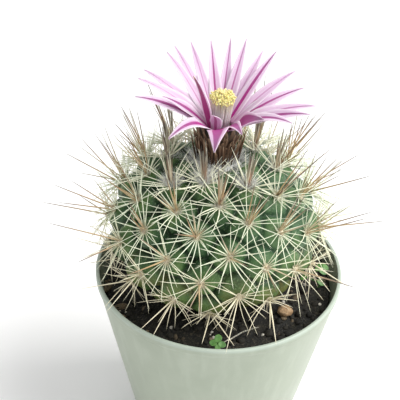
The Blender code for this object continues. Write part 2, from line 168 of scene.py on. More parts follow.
# %% Node helpers
def new_material(name):
    """Return a material, its node tree and its Principled shader."""
    material = bpy.data.materials.new(name)
    material.use_nodes = True
    tree = material.node_tree
    return material, tree, tree.nodes["Principled BSDF"]


def node(tree, kind, **values):
    """Add a shader node and set its properties, or its inputs where the name is an input's."""
    made = tree.nodes.new(kind)
    for key, value in values.items():
        if hasattr(made, key):
            setattr(made, key, value)
        else:
            made.inputs[key.replace("_", " ")].default_value = value
    return made


def link(tree, source, target):
    """Join an output to an input."""
    tree.links.new(source, target)


def ramp(tree, source, stops):
    """Turn a value into a colour through (position, colour) stops."""
    made = tree.nodes.new("ShaderNodeValToRGB")
    elements = made.color_ramp.elements
    while len(elements) < len(stops):
        elements.new(0.5)
    for element, (position, colour) in zip(elements, stops):
        element.position = position
        element.color = (*colour, 1)
    link(tree, source, made.inputs["Fac"])
    return made.outputs["Color"]


def value_map(tree, source, low, high, to_low=0.0, to_high=1.0):
    """Map a range of values to another, without running past its ends."""
    made = tree.nodes.new("ShaderNodeMapRange")
    made.interpolation_type = "SMOOTHSTEP"
    for key, value in zip(("From Min", "From Max", "To Min", "To Max"), (low, high, to_low, to_high)):
        made.inputs[key].default_value = value
    link(tree, source, made.inputs["Value"])
    return made.outputs["Result"]


def math_node(tree, operation, first, second):
    """Combine two values, either of which may be a plain number."""
    made = tree.nodes.new("ShaderNodeMath")
    made.operation = operation
    for socket, value in zip(made.inputs, (first, second)):
        if isinstance(value, (int, float)):
            socket.default_value = value
        else:
            link(tree, value, socket)
    return made.outputs["Value"]


def mix_colours(tree, factor, first, second):
    """Mix two colours, either of which may be a plain colour, by a value or a number."""
    made = tree.nodes.new("ShaderNodeMix")
    made.data_type = "RGBA"
    sockets = (made.inputs[0], made.inputs[6], made.inputs[7])
    for socket, value in zip(sockets, (factor, first, second)):
        if isinstance(value, (int, float)):
            socket.default_value = value
        elif isinstance(value, tuple):
            socket.default_value = (*value, 1)
        else:
            link(tree, value, socket)
    return made.outputs[2]


def attribute(tree, name):
    """Read a number that the mesh carries at each point."""
    made = tree.nodes.new("ShaderNodeAttribute")
    made.attribute_name = name
    return made.outputs["Fac"]


def bump(tree, shader, height, strength, distance):
    """Feed a height pattern to a shader's normal."""
    made = node(tree, "ShaderNodeBump", Strength=strength, Distance=distance)
    link(tree, height, made.inputs["Height"])
    link(tree, made.outputs["Normal"], shader.inputs["Normal"])


def coat(tree, shader, colour, roughness, height, strength, depth, **others):
    """Drive a shader by a colour, a roughness, a bump of a depth in millimetres, and other inputs by name."""
    link(tree, colour, shader.inputs["Base Color"])
    if isinstance(roughness, float):
        shader.inputs["Roughness"].default_value = roughness
    else:
        link(tree, roughness, shader.inputs["Roughness"])
    for name, value in others.items():
        shader.inputs[name.replace("_", " ")].default_value = value
    bump(tree, shader, height, strength, depth * MM)


# %% [markdown]
# ## Grain, shared by most finishes
#
# Skin, soil, stone and moulded plastic all carry a fine unevenness of two sizes. It is a node group, built
# once: a broad cloud and a fine speckle read from Object coordinates, so neither slides over the surface.

# %% Grain group
def build_grain_group():
    """Make the shared group: a broad cloud and a fine speckle, each from 0 to 1."""
    group = bpy.data.node_groups.new("grain", "ShaderNodeTree")
    group.interface.new_socket(name="Broad Scale", in_out="INPUT", socket_type="NodeSocketFloat")
    group.interface.new_socket(name="Fine Scale", in_out="INPUT", socket_type="NodeSocketFloat")
    group.interface.new_socket(name="Cloud", in_out="OUTPUT", socket_type="NodeSocketFloat")
    group.interface.new_socket(name="Speckle", in_out="OUTPUT", socket_type="NodeSocketFloat")
    inputs = group.nodes.new("NodeGroupInput")
    outputs = group.nodes.new("NodeGroupOutput")
    coords = group.nodes.new("ShaderNodeTexCoord")
    for socket, result, detail in (("Broad Scale", "Cloud", 3.0), ("Fine Scale", "Speckle", 5.0)):
        pattern = node(group, "ShaderNodeTexNoise", Detail=detail, Roughness=0.6)
        link(group, coords.outputs["Object"], pattern.inputs["Vector"])
        link(group, inputs.outputs[socket], pattern.inputs["Scale"])
        spread = value_map(group, pattern.outputs["Fac"], 0.28, 0.72)
        link(group, spread, outputs.inputs[result])
    return group


GRAIN = build_grain_group()


def grain(tree, broad, fine):
    """Place the grain group with its own two scales, in patterns per metre."""
    made = tree.nodes.new("ShaderNodeGroup")
    made.node_tree = GRAIN
    made.inputs["Broad Scale"].default_value = broad
    made.inputs["Fine Scale"].default_value = fine
    return made.outputs["Cloud"], made.outputs["Speckle"]


def two_tone(name, scales, dark, light, roughness, strength, depth):
    """A plain finish: a cloud between two colours, with a speckled bump."""
    material, tree, shader = new_material(name)
    cloud, speckle = grain(tree, *scales)
    colour = ramp(tree, cloud, [(0.0, dark), (1.0, light)])
    coat(tree, shader, colour, roughness, speckle, strength, depth)
    return material


def side_and_height(tree):
    """How far to the right and how high the surface point is, in metres."""
    coords = tree.nodes.new("ShaderNodeTexCoord")
    split = tree.nodes.new("ShaderNodeSeparateXYZ")
    link(tree, coords.outputs["Object"], split.inputs["Vector"])
    return split.outputs["X"], split.outputs["Z"]


# %% [markdown]
# ## The pot
#
# A cheap nursery pot is blown or moulded from polypropylene: one thin wall, a flat floor and a narrow band
# round the rim that stiffens it. A turned shape is a profile spun round an axis, so its wall thickness,
# lip and taper are read straight off the profile. The drainage holes are cut with a Boolean.

# %% Pot shape
pot_low, pot_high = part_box("pot")
POT_HEIGHT = pot_high[2]
RIM_RADIUS = pot_high[0]
BASE_RADIUS = 18.3 * MM
WALL = 0.85 * MM
BAND = 1.6 * MM
STEP = 0.3 * MM
FLOOR = 1.2 * MM


def pot_profile():
    """The pot's section, from the top of its lip down the outside and back up the inside."""
    wall_top = RIM_RADIUS - STEP
    foot = POT_HEIGHT - BAND
    return [
        (RIM_RADIUS - 0.55 * WALL, POT_HEIGHT),
        (RIM_RADIUS - 0.22 * MM, POT_HEIGHT - 0.05 * MM),
        (RIM_RADIUS - 0.05 * MM, POT_HEIGHT - 0.18 * MM),
        (RIM_RADIUS, POT_HEIGHT - 0.4 * MM),
        (RIM_RADIUS - 0.02 * MM, foot + 0.15 * MM),
        (RIM_RADIUS - 0.12 * MM, foot - 0.05 * MM),
        (wall_top, foot - 0.25 * MM),
        (wall_top - 0.1 * MM, foot - 0.8 * MM),
        (BASE_RADIUS + 0.05 * MM, 1.2 * MM),
        (BASE_RADIUS - 0.2 * MM, 0.5 * MM),
        (BASE_RADIUS - 0.5 * MM, 0.15 * MM),
        (BASE_RADIUS - 0.95 * MM, 0),
        (0, 0),
        (0, FLOOR),
        (BASE_RADIUS - 2.2 * WALL, FLOOR),
        (BASE_RADIUS - WALL, FLOOR + WALL),
        (wall_top - WALL - 0.1 * MM, foot - 0.8 * MM),
        (RIM_RADIUS - WALL - 0.15 * MM, foot),
        (RIM_RADIUS - WALL, POT_HEIGHT - 0.5 * MM),
        (RIM_RADIUS - WALL + 0.08 * MM, POT_HEIGHT - 0.12 * MM),
        (RIM_RADIUS - 0.55 * WALL, POT_HEIGHT),
    ]


def cut_holes(piece, count, circle, radius):
    """Cut round holes through a floor and keep the result in the piece's mesh."""
    bm = bmesh.new()
    for k in range(count):
        angle = TURN * (k + 0.5) / count
        place = Matrix.Translation((circle * math.cos(angle), circle * math.sin(angle), 0))
        bmesh.ops.create_cone(
            bm, cap_ends=True, segments=24, radius1=radius, radius2=radius, depth=6 * MM, matrix=place
        )
    mesh = bpy.data.meshes.new("hole_cutter")
    bm.to_mesh(mesh)
    bm.free()
    cutter = bpy.data.objects.new("hole_cutter", mesh)
    bpy.context.scene.collection.objects.link(cutter)
    modifier = piece.modifiers.new("holes", "BOOLEAN")
    modifier.operation = "DIFFERENCE"
    modifier.object = cutter
    graph = bpy.context.evaluated_depsgraph_get()
    made = bpy.data.meshes.new_from_object(piece.evaluated_get(graph))
    piece.modifiers.remove(modifier)
    piece.data = made
    bpy.data.objects.remove(cutter)


# %% [markdown]
# Pale grey-green plastic is satin: light glides over it without a sharp reflection. Moulding leaves faint
# vertical flow marks, dust dulls it in specks, and a painted highlight makes the top of the rim paler.

# %% Pot finish
def pot_plastic():
    material, tree, shader = new_material("sage plastic")
    cloud, speckle = grain(tree, 70, 1500)
    coords = tree.nodes.new("ShaderNodeTexCoord")
    streaks = node(tree, "ShaderNodeMapping", Scale=(420, 420, 26))
    link(tree, coords.outputs["Object"], streaks.inputs["Vector"])
    runs = node(tree, "ShaderNodeTexNoise", Scale=1.0, Detail=3.0)
    link(tree, streaks.outputs["Vector"], runs.inputs["Vector"])
    plain = ramp(tree, cloud, [(0.0, (0.305, 0.35, 0.272)), (1.0, (0.37, 0.415, 0.335))])
    runny = value_map(tree, runs.outputs["Fac"], 0.45, 0.75, 0, 0.2)
    marked = mix_colours(tree, runny, plain, (0.52, 0.58, 0.49))
    dusty = mix_colours(tree, value_map(tree, speckle, 0.75, 1.0, 0, 0.25), marked, (0.32, 0.36, 0.29))
    _, height = side_and_height(tree)
    # Painted highlight: the top of the rim is painted paler and bluer, as if lit from above.
    rim_highlight_mask = value_map(tree, height, POT_HEIGHT - 0.9 * MM, POT_HEIGHT - 0.3 * MM, 0, 0.45)
    rim_highlighted = mix_colours(tree, rim_highlight_mask, dusty, (0.47, 0.55, 0.50))
    satin = value_map(tree, cloud, 0, 1, 0.34, 0.5)
    coat(tree, shader, rim_highlighted, satin, speckle, 0.12, 0.05, Specular_IOR_Level=0.45)
    return material


POT_PLASTIC = pot_plastic()
bm = bmesh.new()
spun(bm, pot_profile(), 144)
pot_piece = finish_piece("pot_shell", bm, [POT_PLASTIC], ["pot"])
cut_holes(pot_piece, count=4, circle=11.5 * MM, radius=1.8 * MM)
pot_piece.data.set_sharp_from_angle(angle=math.radians(50))
print("pot:", len(pot_piece.data.polygons), "faces")

# %% [markdown]
# ## The soil
#
# Damp peat is almost black and crumbly, with lighter fibres and a few pale grains. The bed itself is a
# spun disc whose points are moved up and down by noise; loose crumbs are then scattered over it, because a
# bump alone has no outline and no shadow.

# %% Soil bed
SOIL_LEVEL = POT_HEIGHT - 4.5 * MM
SOIL_RELIEF = 0.45 * MM
SOIL_GRAIN = 3.2 * MM
STEM_CENTRE = Vector((-1.4, 1.8, 59.1)) * MM


def soil_height(x, y):
    """The height of the soil's uneven top, with the broad waves of the engineering model and finer lumps."""
    wave = noise.noise(Vector((x / SOIL_GRAIN, y / SOIL_GRAIN, 0.5)))
    lumps = noise.noise(Vector((x, y, 0.0)) / (1.1 * MM))
    crumbs = noise.noise(Vector((x, y, 0.01)) / (0.45 * MM))
    return SOIL_LEVEL + SOIL_RELIEF * wave + 0.3 * MM * lumps + 0.16 * MM * crumbs


def soil_edge(height):
    """The radius of the soil at a height: the pot's inner wall less a hair."""
    share = (height - FLOOR) / (POT_HEIGHT - FLOOR)
    low, high = BASE_RADIUS - WALL, RIM_RADIUS - WALL - STEP
    return low + share * (high - low) - 0.2 * MM


bm = bmesh.new()
rings = 64
edge = soil_edge(SOIL_LEVEL)
profile = [(edge * k / rings, SOIL_LEVEL) for k in range(rings + 1)]
profile += [(soil_edge(h * MM), h * MM) for h in (38, 25, 12, 2)]
profile.append((0, 1.6 * MM))
spun(bm, profile, 176)
for vertex in bm.verts:
    if vertex.co.z > SOIL_LEVEL - 0.1 * MM:
        vertex.co.z = soil_height(vertex.co.x, vertex.co.y)


# %% [markdown]
# The peat's colour comes from two layers: a near-black ground, and brown flecks where fibres catch the
# light. It is rough all over, with a faint damp gleam in patches.

# %% Soil finish
def peat():
    material, tree, shader = new_material("damp peat")
    cloud, speckle = grain(tree, 260, 1900)
    stops = [(0.0, (0.003, 0.0032, 0.0024)), (0.6, (0.009, 0.009, 0.0065)), (1.0, (0.023, 0.021, 0.014))]
    ground = ramp(tree, cloud, stops)
    flecked = mix_colours(tree, value_map(tree, speckle, 0.62, 0.95, 0, 0.75), ground, (0.075, 0.062, 0.042))
    damp = value_map(tree, cloud, 0, 1, 0.55, 0.95)
    coat(tree, shader, flecked, damp, speckle, 0.8, 0.25)
    return material


PEAT = peat()
soil_piece = finish_piece("soil_bed", bm, [PEAT], ["soil"])
print("soil:", len(soil_piece.data.polygons), "faces")


# %% [markdown]
# The crumbs are one small rough ball, copied a few hundred times with its own size, squash and turn each
# time. Most are peat, some are straw-coloured bits of bark and a few are white grains of grit. A number on
# each point says which, and the finish turns that number into a colour.

# %% Crumbs
def crumb_finish():
    material, tree, shader = new_material("peat crumbs and grit")
    kind = attribute(tree, "age")
    _, speckle = grain(tree, 300, 2500)
    stops = [
        (0.0, (0.005, 0.005, 0.004)),
        (0.45, (0.020, 0.018, 0.012)),
        (0.75, (0.19, 0.14, 0.085)),
        (1.0, (0.60, 0.57, 0.50)),
    ]
    plain = ramp(tree, kind, stops)
    colour = mix_colours(tree, value_map(tree, speckle, 0.4, 1, 0, 0.5), plain, (0.02, 0.015, 0.01))
    coat(tree, shader, colour, 0.85, speckle, 0.6, 0.1)
    return material


def scatter_crumbs(count, rng):
    """Scatter rough crumbs over the ring of soil that the stem leaves open."""
    ball = bmesh.new()
    bmesh.ops.create_icosphere(ball, subdivisions=2, radius=1)
    for vertex in ball.verts:
        vertex.co *= 1 + 0.35 * noise.noise(vertex.co * 2.1)
    pattern = make_pattern("crumb_pattern", ball)
    bm = new_piece()
    for _ in range(count):
        angle = rng.uniform(0, TURN)
        radius = math.sqrt(rng.uniform(11.0 ** 2, 25.2 ** 2)) * MM
        x, y = radius * math.cos(angle), radius * math.sin(angle)
        size = rng.choice((0.25, 0.35, 0.45, 0.6, 0.8)) * MM * rng.uniform(0.8, 1.3)
        roll = rng.random()
        kind = rng.uniform(0, 0.45) if roll < 0.8 else rng.uniform(0.55, 0.8) if roll < 0.94 else 1.0
        longest = 2.4 if 0.5 < kind < 0.9 else 1.3
        stretch = (rng.uniform(0.8, longest), 1, rng.uniform(0.5, 0.9))
        turn = Euler((rng.uniform(-0.5, 0.5), rng.uniform(-0.5, 0.5), angle * 7)).to_matrix().to_4x4()
        place = Matrix.Translation((x, y, soil_height(x, y) + size * 0.25))
        size = min(size, 0.42 * MM) if kind == 1.0 else size
        matrix = place @ turn @ Matrix.Diagonal((*(size * s for s in stretch), 1))
        add_copy(bm, pattern, placed(pattern, matrix), along=0, age=kind)
    bpy.data.meshes.remove(pattern[0])
    return bm


crumbs = scatter_crumbs(520, random.Random(5))
crumb_piece = finish_piece("soil_crumbs", crumbs, [crumb_finish()])
print("crumbs:", len(crumb_piece.data.polygons), "faces")

# %% [markdown]
# ## The stem
#
# The plant is a flattened ball covered in low tubercles, one under each cluster of spines. They are not
# scattered at random: each follows the last by nearly the golden angle, which packs them into spirals. The
# ball starts as an icosphere, and every point is lifted towards the nearest tubercle's tip.

# %% Areole spiral
TIP_RADIUS = 23.1 * MM
TIP_HALF_HEIGHT = 17.3 * MM
TUBERCLE = 2.7 * MM
REACH = 5.6 * MM
ROOT_DEPTH = 17.5 * MM
CROWN_RADIUS = 7 * MM
CROWN_LEVEL = 75 * MM
FIRST, LAST, RIBS = 4, 70, 13
# The spiral's start and its turn from one areole to the next, in degrees; then the areoles that a whole ball
# would hold, those that the crown hides, and how they crowd towards the top.
AREOLE_START, AREOLE_TURN = 287.5, 137.366
AREOLE_COUNT, AREOLE_OFFSET, AREOLE_SPREAD = 86.93, 3.0, 1.277


def areole_direction(index):
    """The unit direction of one areole from the stem's centre, on a unit ball."""
    share = min((index + AREOLE_OFFSET) / AREOLE_COUNT, 1)
    polar = math.pi * (math.acos(1 - 2 * share) / math.pi) ** AREOLE_SPREAD
    around = math.radians(AREOLE_START + AREOLE_TURN * index)
    level = math.sin(polar)
    return Vector((level * math.cos(around), level * math.sin(around), math.cos(polar)))


def on_tips(direction):
    """The point of the ellipsoid through the tubercles' tips, from the stem's centre."""
    x, y, z = direction
    return Vector((TIP_RADIUS * x, TIP_RADIUS * y, TIP_HALF_HEIGHT * z))


def tip_normal(direction):
    """The outward normal of that ellipsoid."""
    x, y, z = direction
    return Vector((x / TIP_RADIUS, y / TIP_RADIUS, z / TIP_HALF_HEIGHT)).normalized()


TIPS = KDTree(LAST + 5)
for index in range(LAST + 5):
    TIPS.insert(on_tips(areole_direction(index)), index)
TIPS.balance()
print("areoles:", LAST - FIRST + 1, "on", RIBS, "ribs")


# %% [markdown]
# Each point of the ball asks for the nearest two tubercle tips. Close to a tip it rises to the outer
# ellipsoid, and midway between two it sinks into a crease. Noise adds folds, wrinkles and pores, and the
# crown is flattened where the wool sits.

# %% Stem shape
def stem_surface(direction):
    """The stem's surface in one direction from its centre, and how far up a tubercle it lies."""
    tip = on_tips(direction)
    found = TIPS.find_n(tip, 2)
    near, second = found[0][2], found[1][2]
    dome = max(0.0, 1 - (near / REACH) ** 2)
    crease = 1 - smoothstep(0, 1.5 * MM, second - near)
    normal = tip_normal(direction)
    body = tip - TUBERCLE * normal
    if direction.z < 0:
        body.z = min(body.z, direction.z * ROOT_DEPTH)
    place = body.lerp(tip, dome)
    wrinkle = noise.fractal(direction * 9, 1.0, 2.0, 3)
    around = math.atan2(direction.y, direction.x)
    fold = noise.noise(Vector((7 * math.cos(around), 7 * math.sin(around), 1.3 * direction.z + 4)))
    fold *= 1 - abs(direction.z) ** 4
    pore = noise.noise(direction * 60)
    place += normal * ((0.25 * wrinkle - 0.7 * crease + 0.9 * fold * (1 - dome) + 0.05 * pore) * MM)
    dome = max(0, min(1, dome + 0.7 * fold + 0.2 * wrinkle))
    crown = CROWN_LEVEL - STEM_CENTRE.z
    flat = 1 - min(1, Vector((place.x, place.y)).length / CROWN_RADIUS) ** 4
    if place.z > crown:
        place.z += (crown - place.z) * flat
    return place, dome, crease


bm = bmesh.new()
groove_shade_layer = bm.verts.layers.float.new("dome")
bmesh.ops.create_icosphere(bm, subdivisions=7, radius=1)
for vertex in bm.verts:
    place, dome, crease = stem_surface(vertex.co.normalized())
    vertex.co = STEM_CENTRE + place
    # The stored number drives painted shade in the creases and a painted highlight on the tubercles'
    # shoulders.
    vertex[groove_shade_layer] = dome * (1 - 0.85 * crease)


# %% [markdown]
# Cactus skin is a waxy dark green. A painted highlight makes it lighter on the tubercles' shoulders, painted
# shade makes it nearly black in the grooves, and it turns brown and corky towards the soil where old growth
# dries. A faint pale painted reflection lies on the upper right. The number stored with each point tells the
# finish where the grooves are, for the painted shade.

# %% Stem finish
def stem_skin():
    material, tree, shader = new_material("waxy green skin")
    dome = attribute(tree, "dome")
    side, height = side_and_height(tree)
    cloud, speckle = grain(tree, 170, 2200)
    stops = [
        (0.0, (0.003, 0.011, 0.003)),
        (0.3, (0.011, 0.034, 0.011)),
        (0.7, (0.036, 0.092, 0.027)),
        (1.0, (0.088, 0.16, 0.046)),
    ]
    # Painted shade and highlight: the ramp runs from near black in the creases to light green on the
    # shoulders.
    green = ramp(tree, dome, stops)
    varied = mix_colours(tree, value_map(tree, cloud, 0.2, 1, 0, 0.5), green, (0.020, 0.07, 0.026))
    # Painted reflection: a pale bluish sheen painted on the upper right, towards the key lamp.
    to_right = value_map(tree, side, -2 * MM, 14 * MM)
    right_reflection_mask = math_node(tree, "MULTIPLY", to_right, value_map(tree, height, 52 * MM, 68 * MM))
    reflection_painted = mix_colours(tree, math_node(tree, "MULTIPLY", right_reflection_mask, 0.32), varied, (0.105, 0.20, 0.115))
    near_soil = value_map(tree, height, 64 * MM, 52 * MM)
    corky = math_node(tree, "MULTIPLY", near_soil, value_map(tree, cloud, 0.35, 0.75))
    aged = mix_colours(tree, math_node(tree, "MULTIPLY", corky, 0.75), reflection_painted, (0.17, 0.145, 0.035))
    low = math_node(tree, "MULTIPLY", value_map(tree, height, 66 * MM, 54 * MM, 0, 0.45), dome)
    lit = mix_colours(tree, low, aged, (0.125, 0.20, 0.06))
    dotted = mix_colours(tree, value_map(tree, speckle, 0.68, 0.92, 0, 0.4), lit, (0.17, 0.27, 0.12))
    waxy = value_map(tree, cloud, 0, 1, 0.34, 0.55)
    coat(tree, shader, dotted, waxy, speckle, 0.45, 0.1, Specular_IOR_Level=0.3)
    return material


stem_piece = finish_piece("stem_body", bm, [stem_skin()], ["stem"])
print("stem:", len(stem_piece.data.polygons), "faces")

# %% [markdown]
# ## The spines
#
# Each tubercle ends in an areole, a felted pad from which one or two dozen thin radial spines fan out close
# to the skin, with stouter centrals standing away from it: ten on the crown, two low down. A spine keeps
# its thickness for most of its length and then runs quickly to a point. One unit spine is made from a cone
# that is subdivided and re-tapered, and every spine on the plant is a bent copy of it.

# %% Spine patterns
def unit_spine(name, segments, cuts, power):
    """A spine of length 1 and base radius 1 along +Z, thinning to a point by a power of its length."""
    bm = bmesh.new()
    bmesh.ops.create_cone(bm, cap_ends=True, segments=segments, radius1=1, radius2=0.99, depth=1)
    bmesh.ops.translate(bm, verts=bm.verts, vec=(0, 0, 0.5))
    uprights = [edge for edge in bm.edges if abs(edge.verts[0].co.z - edge.verts[1].co.z) > 0.5]
    bmesh.ops.subdivide_edges(bm, edges=uprights, cuts=cuts)
    for vertex in bm.verts:
        vertex.co.z = 1 - (1 - vertex.co.z) ** 1.5
        thin = max(0.08, (1 - vertex.co.z) ** power)
        vertex.co.x *= thin
        vertex.co.y *= thin
    return make_pattern(name, bm)


SPINE = unit_spine("spine_pattern", 5, 4, 0.45)
HAIR = unit_spine("hair_pattern", 3, 2, 0.8)


def add_spine(bm, pattern, start, aim, length, radius, bow=0.0, age=0.0, brown=0.0):
    """Add one spine or hair from start along aim; bow bends it aside by that share of its length."""
    x, y, z = pattern[1].T
    turn = np.array(aim.to_track_quat("Z", "Y").to_matrix())
    shape = np.stack([x * radius + bow * length * z * z, y * radius, z * length], axis=1)
    add_copy(bm, pattern, shape @ turn.T + np.array(start), z, age, brown)


# %% [markdown]
# Spines give way to what they meet. One that would run through the pot's wall or into the soil is lifted
# and a little shortened until it clears them, and one that reaches up among the petals is shortened.

# %% Clearance
PETAL_REACH, PETAL_LEVEL, TALL = 19 * MM, 82 * MM, 80 * MM


def blocked(point):
    """True where a spine may not be: in the pot's wall, in the soil, or where the petals spread."""
    radius = math.hypot(point.x, point.y)
    if point.z < POT_HEIGHT + 0.4 * MM and radius > RIM_RADIUS - WALL - 0.5 * MM:
        return True
    if point.z < SOIL_LEVEL + 0.25 * MM:
        return True
    reach = math.hypot(point.x - STEM_CENTRE.x, point.y - STEM_CENTRE.y)
    return reach < PETAL_REACH and point.z > PETAL_LEVEL + 0.3 * max(0, reach - 4 * MM)


def settle(start, aim, length):
    """Turn or shorten a spine until nothing blocks it, and return its aim and length."""
    for _ in range(12):
        points = [start + aim * length * share for share in (0.4, 0.6, 0.8, 0.9, 1.0)]
        if not any(blocked(point) for point in points):
            return aim, length
        if points[-1].z > TALL:
            length *= 0.93
        else:
            aim = (aim + UP * 0.14).normalized()
            length *= 0.96
    return aim, length * 0.6


# %% [markdown]
# Radials fan round an areole's outward normal. Centrals come in bands, by how far the areole is from the
# crown: many and upright at the top, few and spread lower down. The longest of them lean out from the stem
# and give the plant its outline.

# %% Spine clusters
OUTLINE_ENDS = math.radians(100)
# Each band: its lower edge in degrees from the crown, the number of centrals, how far they lean upwards, how
# much they stray, and the longest of them in millimetres.
CENTRAL_BANDS = (
    (38, 10, 1.5, 0.2, 11.5),
    (60, 6, 0.6, 0.34, 13.5),
    (72, 4, 0.5, 0.36, 13.0),
    (94, 2, 0.15, 0.5, 12.5),
    (180, 2, 0.0, 0.55, 12.0),
)


def areole_frame(index):
    """Where an areole sits, its outward normal, the way to the crown along the skin, and sideways."""
    direction = areole_direction(index)
    normal = tip_normal(direction)
    climb = (UP - normal * UP.dot(normal)).normalized()
    across = normal.cross(climb)
    return STEM_CENTRE + on_tips(direction), normal, climb, across, math.acos(direction.z)


def outline_aims(index, rng):
    """One areole's longest spines: they lean out from the stem, steeply on the crown and level lower down."""
    _, normal, _, _, polar = areole_frame(index)
    if polar > OUTLINE_ENDS:
        return []
    own = math.atan2(normal.y, normal.x)
    young = 1 - polar / OUTLINE_ENDS
    aims = []
    for _ in range(rng.choice((0, 1, 1, 2))):
        bearing = own + math.radians(rng.uniform(-30, 30))
        rise = math.pi / 2 - polar + math.radians(rng.uniform(0, 10 + 25 * young))
        length = rng.uniform(12.5, 16 + 2 * young) * MM
        aims.append((outward(bearing) * math.cos(rise) + UP * math.sin(rise), length, True))
    return aims


def add_radials(bm, index, rng):
    """Fan one areole's thin radials out close to the skin."""
    point, normal, climb, across, polar = areole_frame(index)
    age = smoothstep(math.radians(15), math.radians(112), polar)
    start = point + normal * 0.1 * MM
    count = rng.randint(14, 17) + round(7 * (1 - age)) - (2 if polar > math.radians(100) else 0)
    for k in range(count):
        angle = TURN * (k + rng.uniform(-0.32, 0.32)) / count
        flat = climb * math.cos(angle) + across * math.sin(angle)
        rise = math.radians(rng.uniform(6, 32) + 16 * (1 - age))
        aim = (flat * math.cos(rise) + normal * math.sin(rise)).normalized()
        length = rng.uniform(6.2, 9.4) * MM * (0.85 + 0.15 * math.sin(polar))
        if polar > math.radians(98):
            length *= rng.uniform(0.6, 0.95)
        aim, length = settle(start, aim, length)
        radius, bow = rng.uniform(0.08, 0.13) * MM * (1.25 - 0.25 * age), rng.uniform(-0.2, 0.2)
        add_spine(bm, SPINE, start + flat * 0.5 * MM, aim, length, radius, bow, age, rng.uniform(0, 0.2))


def central_aims(index, rng):
    """One areole's centrals: for each its direction, its length, and whether it gives the outline."""
    _, normal, climb, across, polar = areole_frame(index)
    aims = outline_aims(index, rng)
    outline_count = len(aims)
    band = next(band for band in CENTRAL_BANDS if polar < math.radians(band[0]))
    _, count, upright, jitter, longest = band
    for _ in range(count - min(outline_count, count - 1)):
        stray = climb * rng.uniform(-jitter, jitter) + across * rng.uniform(-jitter, jitter)
        aim = (normal + UP * upright + stray * 1.4).normalized()
        aims.append((aim, longest * rng.uniform(0.6, 1.0) * MM, False))
    return aims


def add_centrals(bm, index, rng):
    """Stand one areole's stout centrals up from its pad."""
    point, _, climb, across, polar = areole_frame(index)
    age = smoothstep(math.radians(15), math.radians(112), polar)
    young = 1 - smoothstep(math.radians(78), math.radians(100), polar)
    for aim, length, outline in central_aims(index, rng):
        aim, length = settle(point, aim, length)
        radius = rng.uniform(0.14, 0.19) * MM * (1.25 if polar < math.radians(38) else 1)
        foot = point + (climb * rng.uniform(-0.4, 0.4) + across * rng.uniform(-0.4, 0.4)) * MM
        tint = 0.25 + 0.75 * young * rng.choice((1.0, 0.85, 0.6, 0.45))
        if outline and young > 0.5:
            tint, radius = 1.0, 0.19 * MM
        shade = age * rng.choice((0.25, 0.5, 0.8)) if outline else age
        add_spine(bm, SPINE, foot, aim, length, radius, rng.uniform(-0.04, 0.04), shade, tint)


# %% [markdown]
# Young centrals are reddish brown with a dark point; they bleach to tan and at last to the beige of dry
# straw. Radials are ivory with a hint of green near the crown. The finish reads how far along the spine a
# point is, how old its areole is and whether it is a central.

# %% Spine finish
IVORY = [
    (0.0, (0.88, 0.88, 0.69)),
    (0.35, (0.78, 0.85, 0.67)),
    (0.7, (0.82, 0.84, 0.63)),
    (1.0, (0.87, 0.79, 0.58)),
]
YOUNG_HORN = [
    (0.0, (0.40, 0.22, 0.15)),
    (0.35, (0.31, 0.185, 0.125)),
    (0.7, (0.15, 0.10, 0.075)),
    (0.93, (0.05, 0.04, 0.04)),
]
GOLD_HORN = [
    (0.0, (0.66, 0.50, 0.30)),
    (0.4, (0.50, 0.35, 0.18)),
    (0.75, (0.24, 0.16, 0.095)),
    (0.95, (0.06, 0.05, 0.045)),
]
OLD_HORN = [
    (0.0, (0.78, 0.67, 0.48)),
    (0.35, (0.55, 0.40, 0.25)),
    (0.75, (0.22, 0.15, 0.11)),
    (0.95, (0.07, 0.055, 0.05)),
]


def spine_finish():
    material, tree, shader = new_material("horn spines")
    along, age, brown = (attribute(tree, name) for name in ("along", "age", "brown"))
    _, speckle = grain(tree, 300, 2600)
    ivory = ramp(tree, age, IVORY)
    young, gold, old = (ramp(tree, along, stops) for stops in (YOUNG_HORN, GOLD_HORN, OLD_HORN))
    middle = mix_colours(tree, value_map(tree, age, 0.25, 0.65), gold, old)
    central = mix_colours(tree, value_map(tree, age, 0.02, 0.18), young, middle)
    coloured = mix_colours(tree, value_map(tree, brown, 0.25, 0.9), ivory, central)
    worn = mix_colours(tree, value_map(tree, speckle, 0.4, 1, 0, 0.15), coloured, (0.42, 0.34, 0.24))
    coat(tree, shader, worn, 0.45, speckle, 0.15, 0.03)
    return material


HORN = spine_finish()
rng = random.Random(21)
spine_count = 0
for rib in range(RIBS):
    bm = new_piece()
    for index in [i for i in range(FIRST, LAST + 1) if i % RIBS == rib]:
        add_radials(bm, index, rng)
        add_centrals(bm, index, rng)
    name = f"rib_{rib + 1:02d}_spines"
    row = finish_piece(name, bm, [HORN], [f"spine_row_{rib + 1:02d}"], recalculate=False)
    spine_count += len(row.data.vertices) // len(SPINE[1])
print("spines:", spine_count)


# %% [markdown]
# The areole pads are small oval cushions of felt. Young ones near the crown are white and full; older ones
# are tan and worn. Each is a lumpy ball pressed onto its tubercle, and a few short hairs roughen its edge.

# %% Areole pads
def felt_finish():
    material, tree, shader = new_material("areole felt")
    age = attribute(tree, "age")
    _, speckle = grain(tree, 900, 3200)
    felt = ramp(tree, age, [(0.0, (0.80, 0.82, 0.75)), (0.45, (0.72, 0.66, 0.50)), (1.0, (0.74, 0.68, 0.50))])
    shaded = mix_colours(tree, value_map(tree, speckle, 0.3, 0.8, 0.4, 0), felt, (0.38, 0.27, 0.17))
    coat(tree, shader, shaded, 0.95, speckle, 0.9, 0.12)
    return material


HAIR_RADIUS = 0.06 * MM


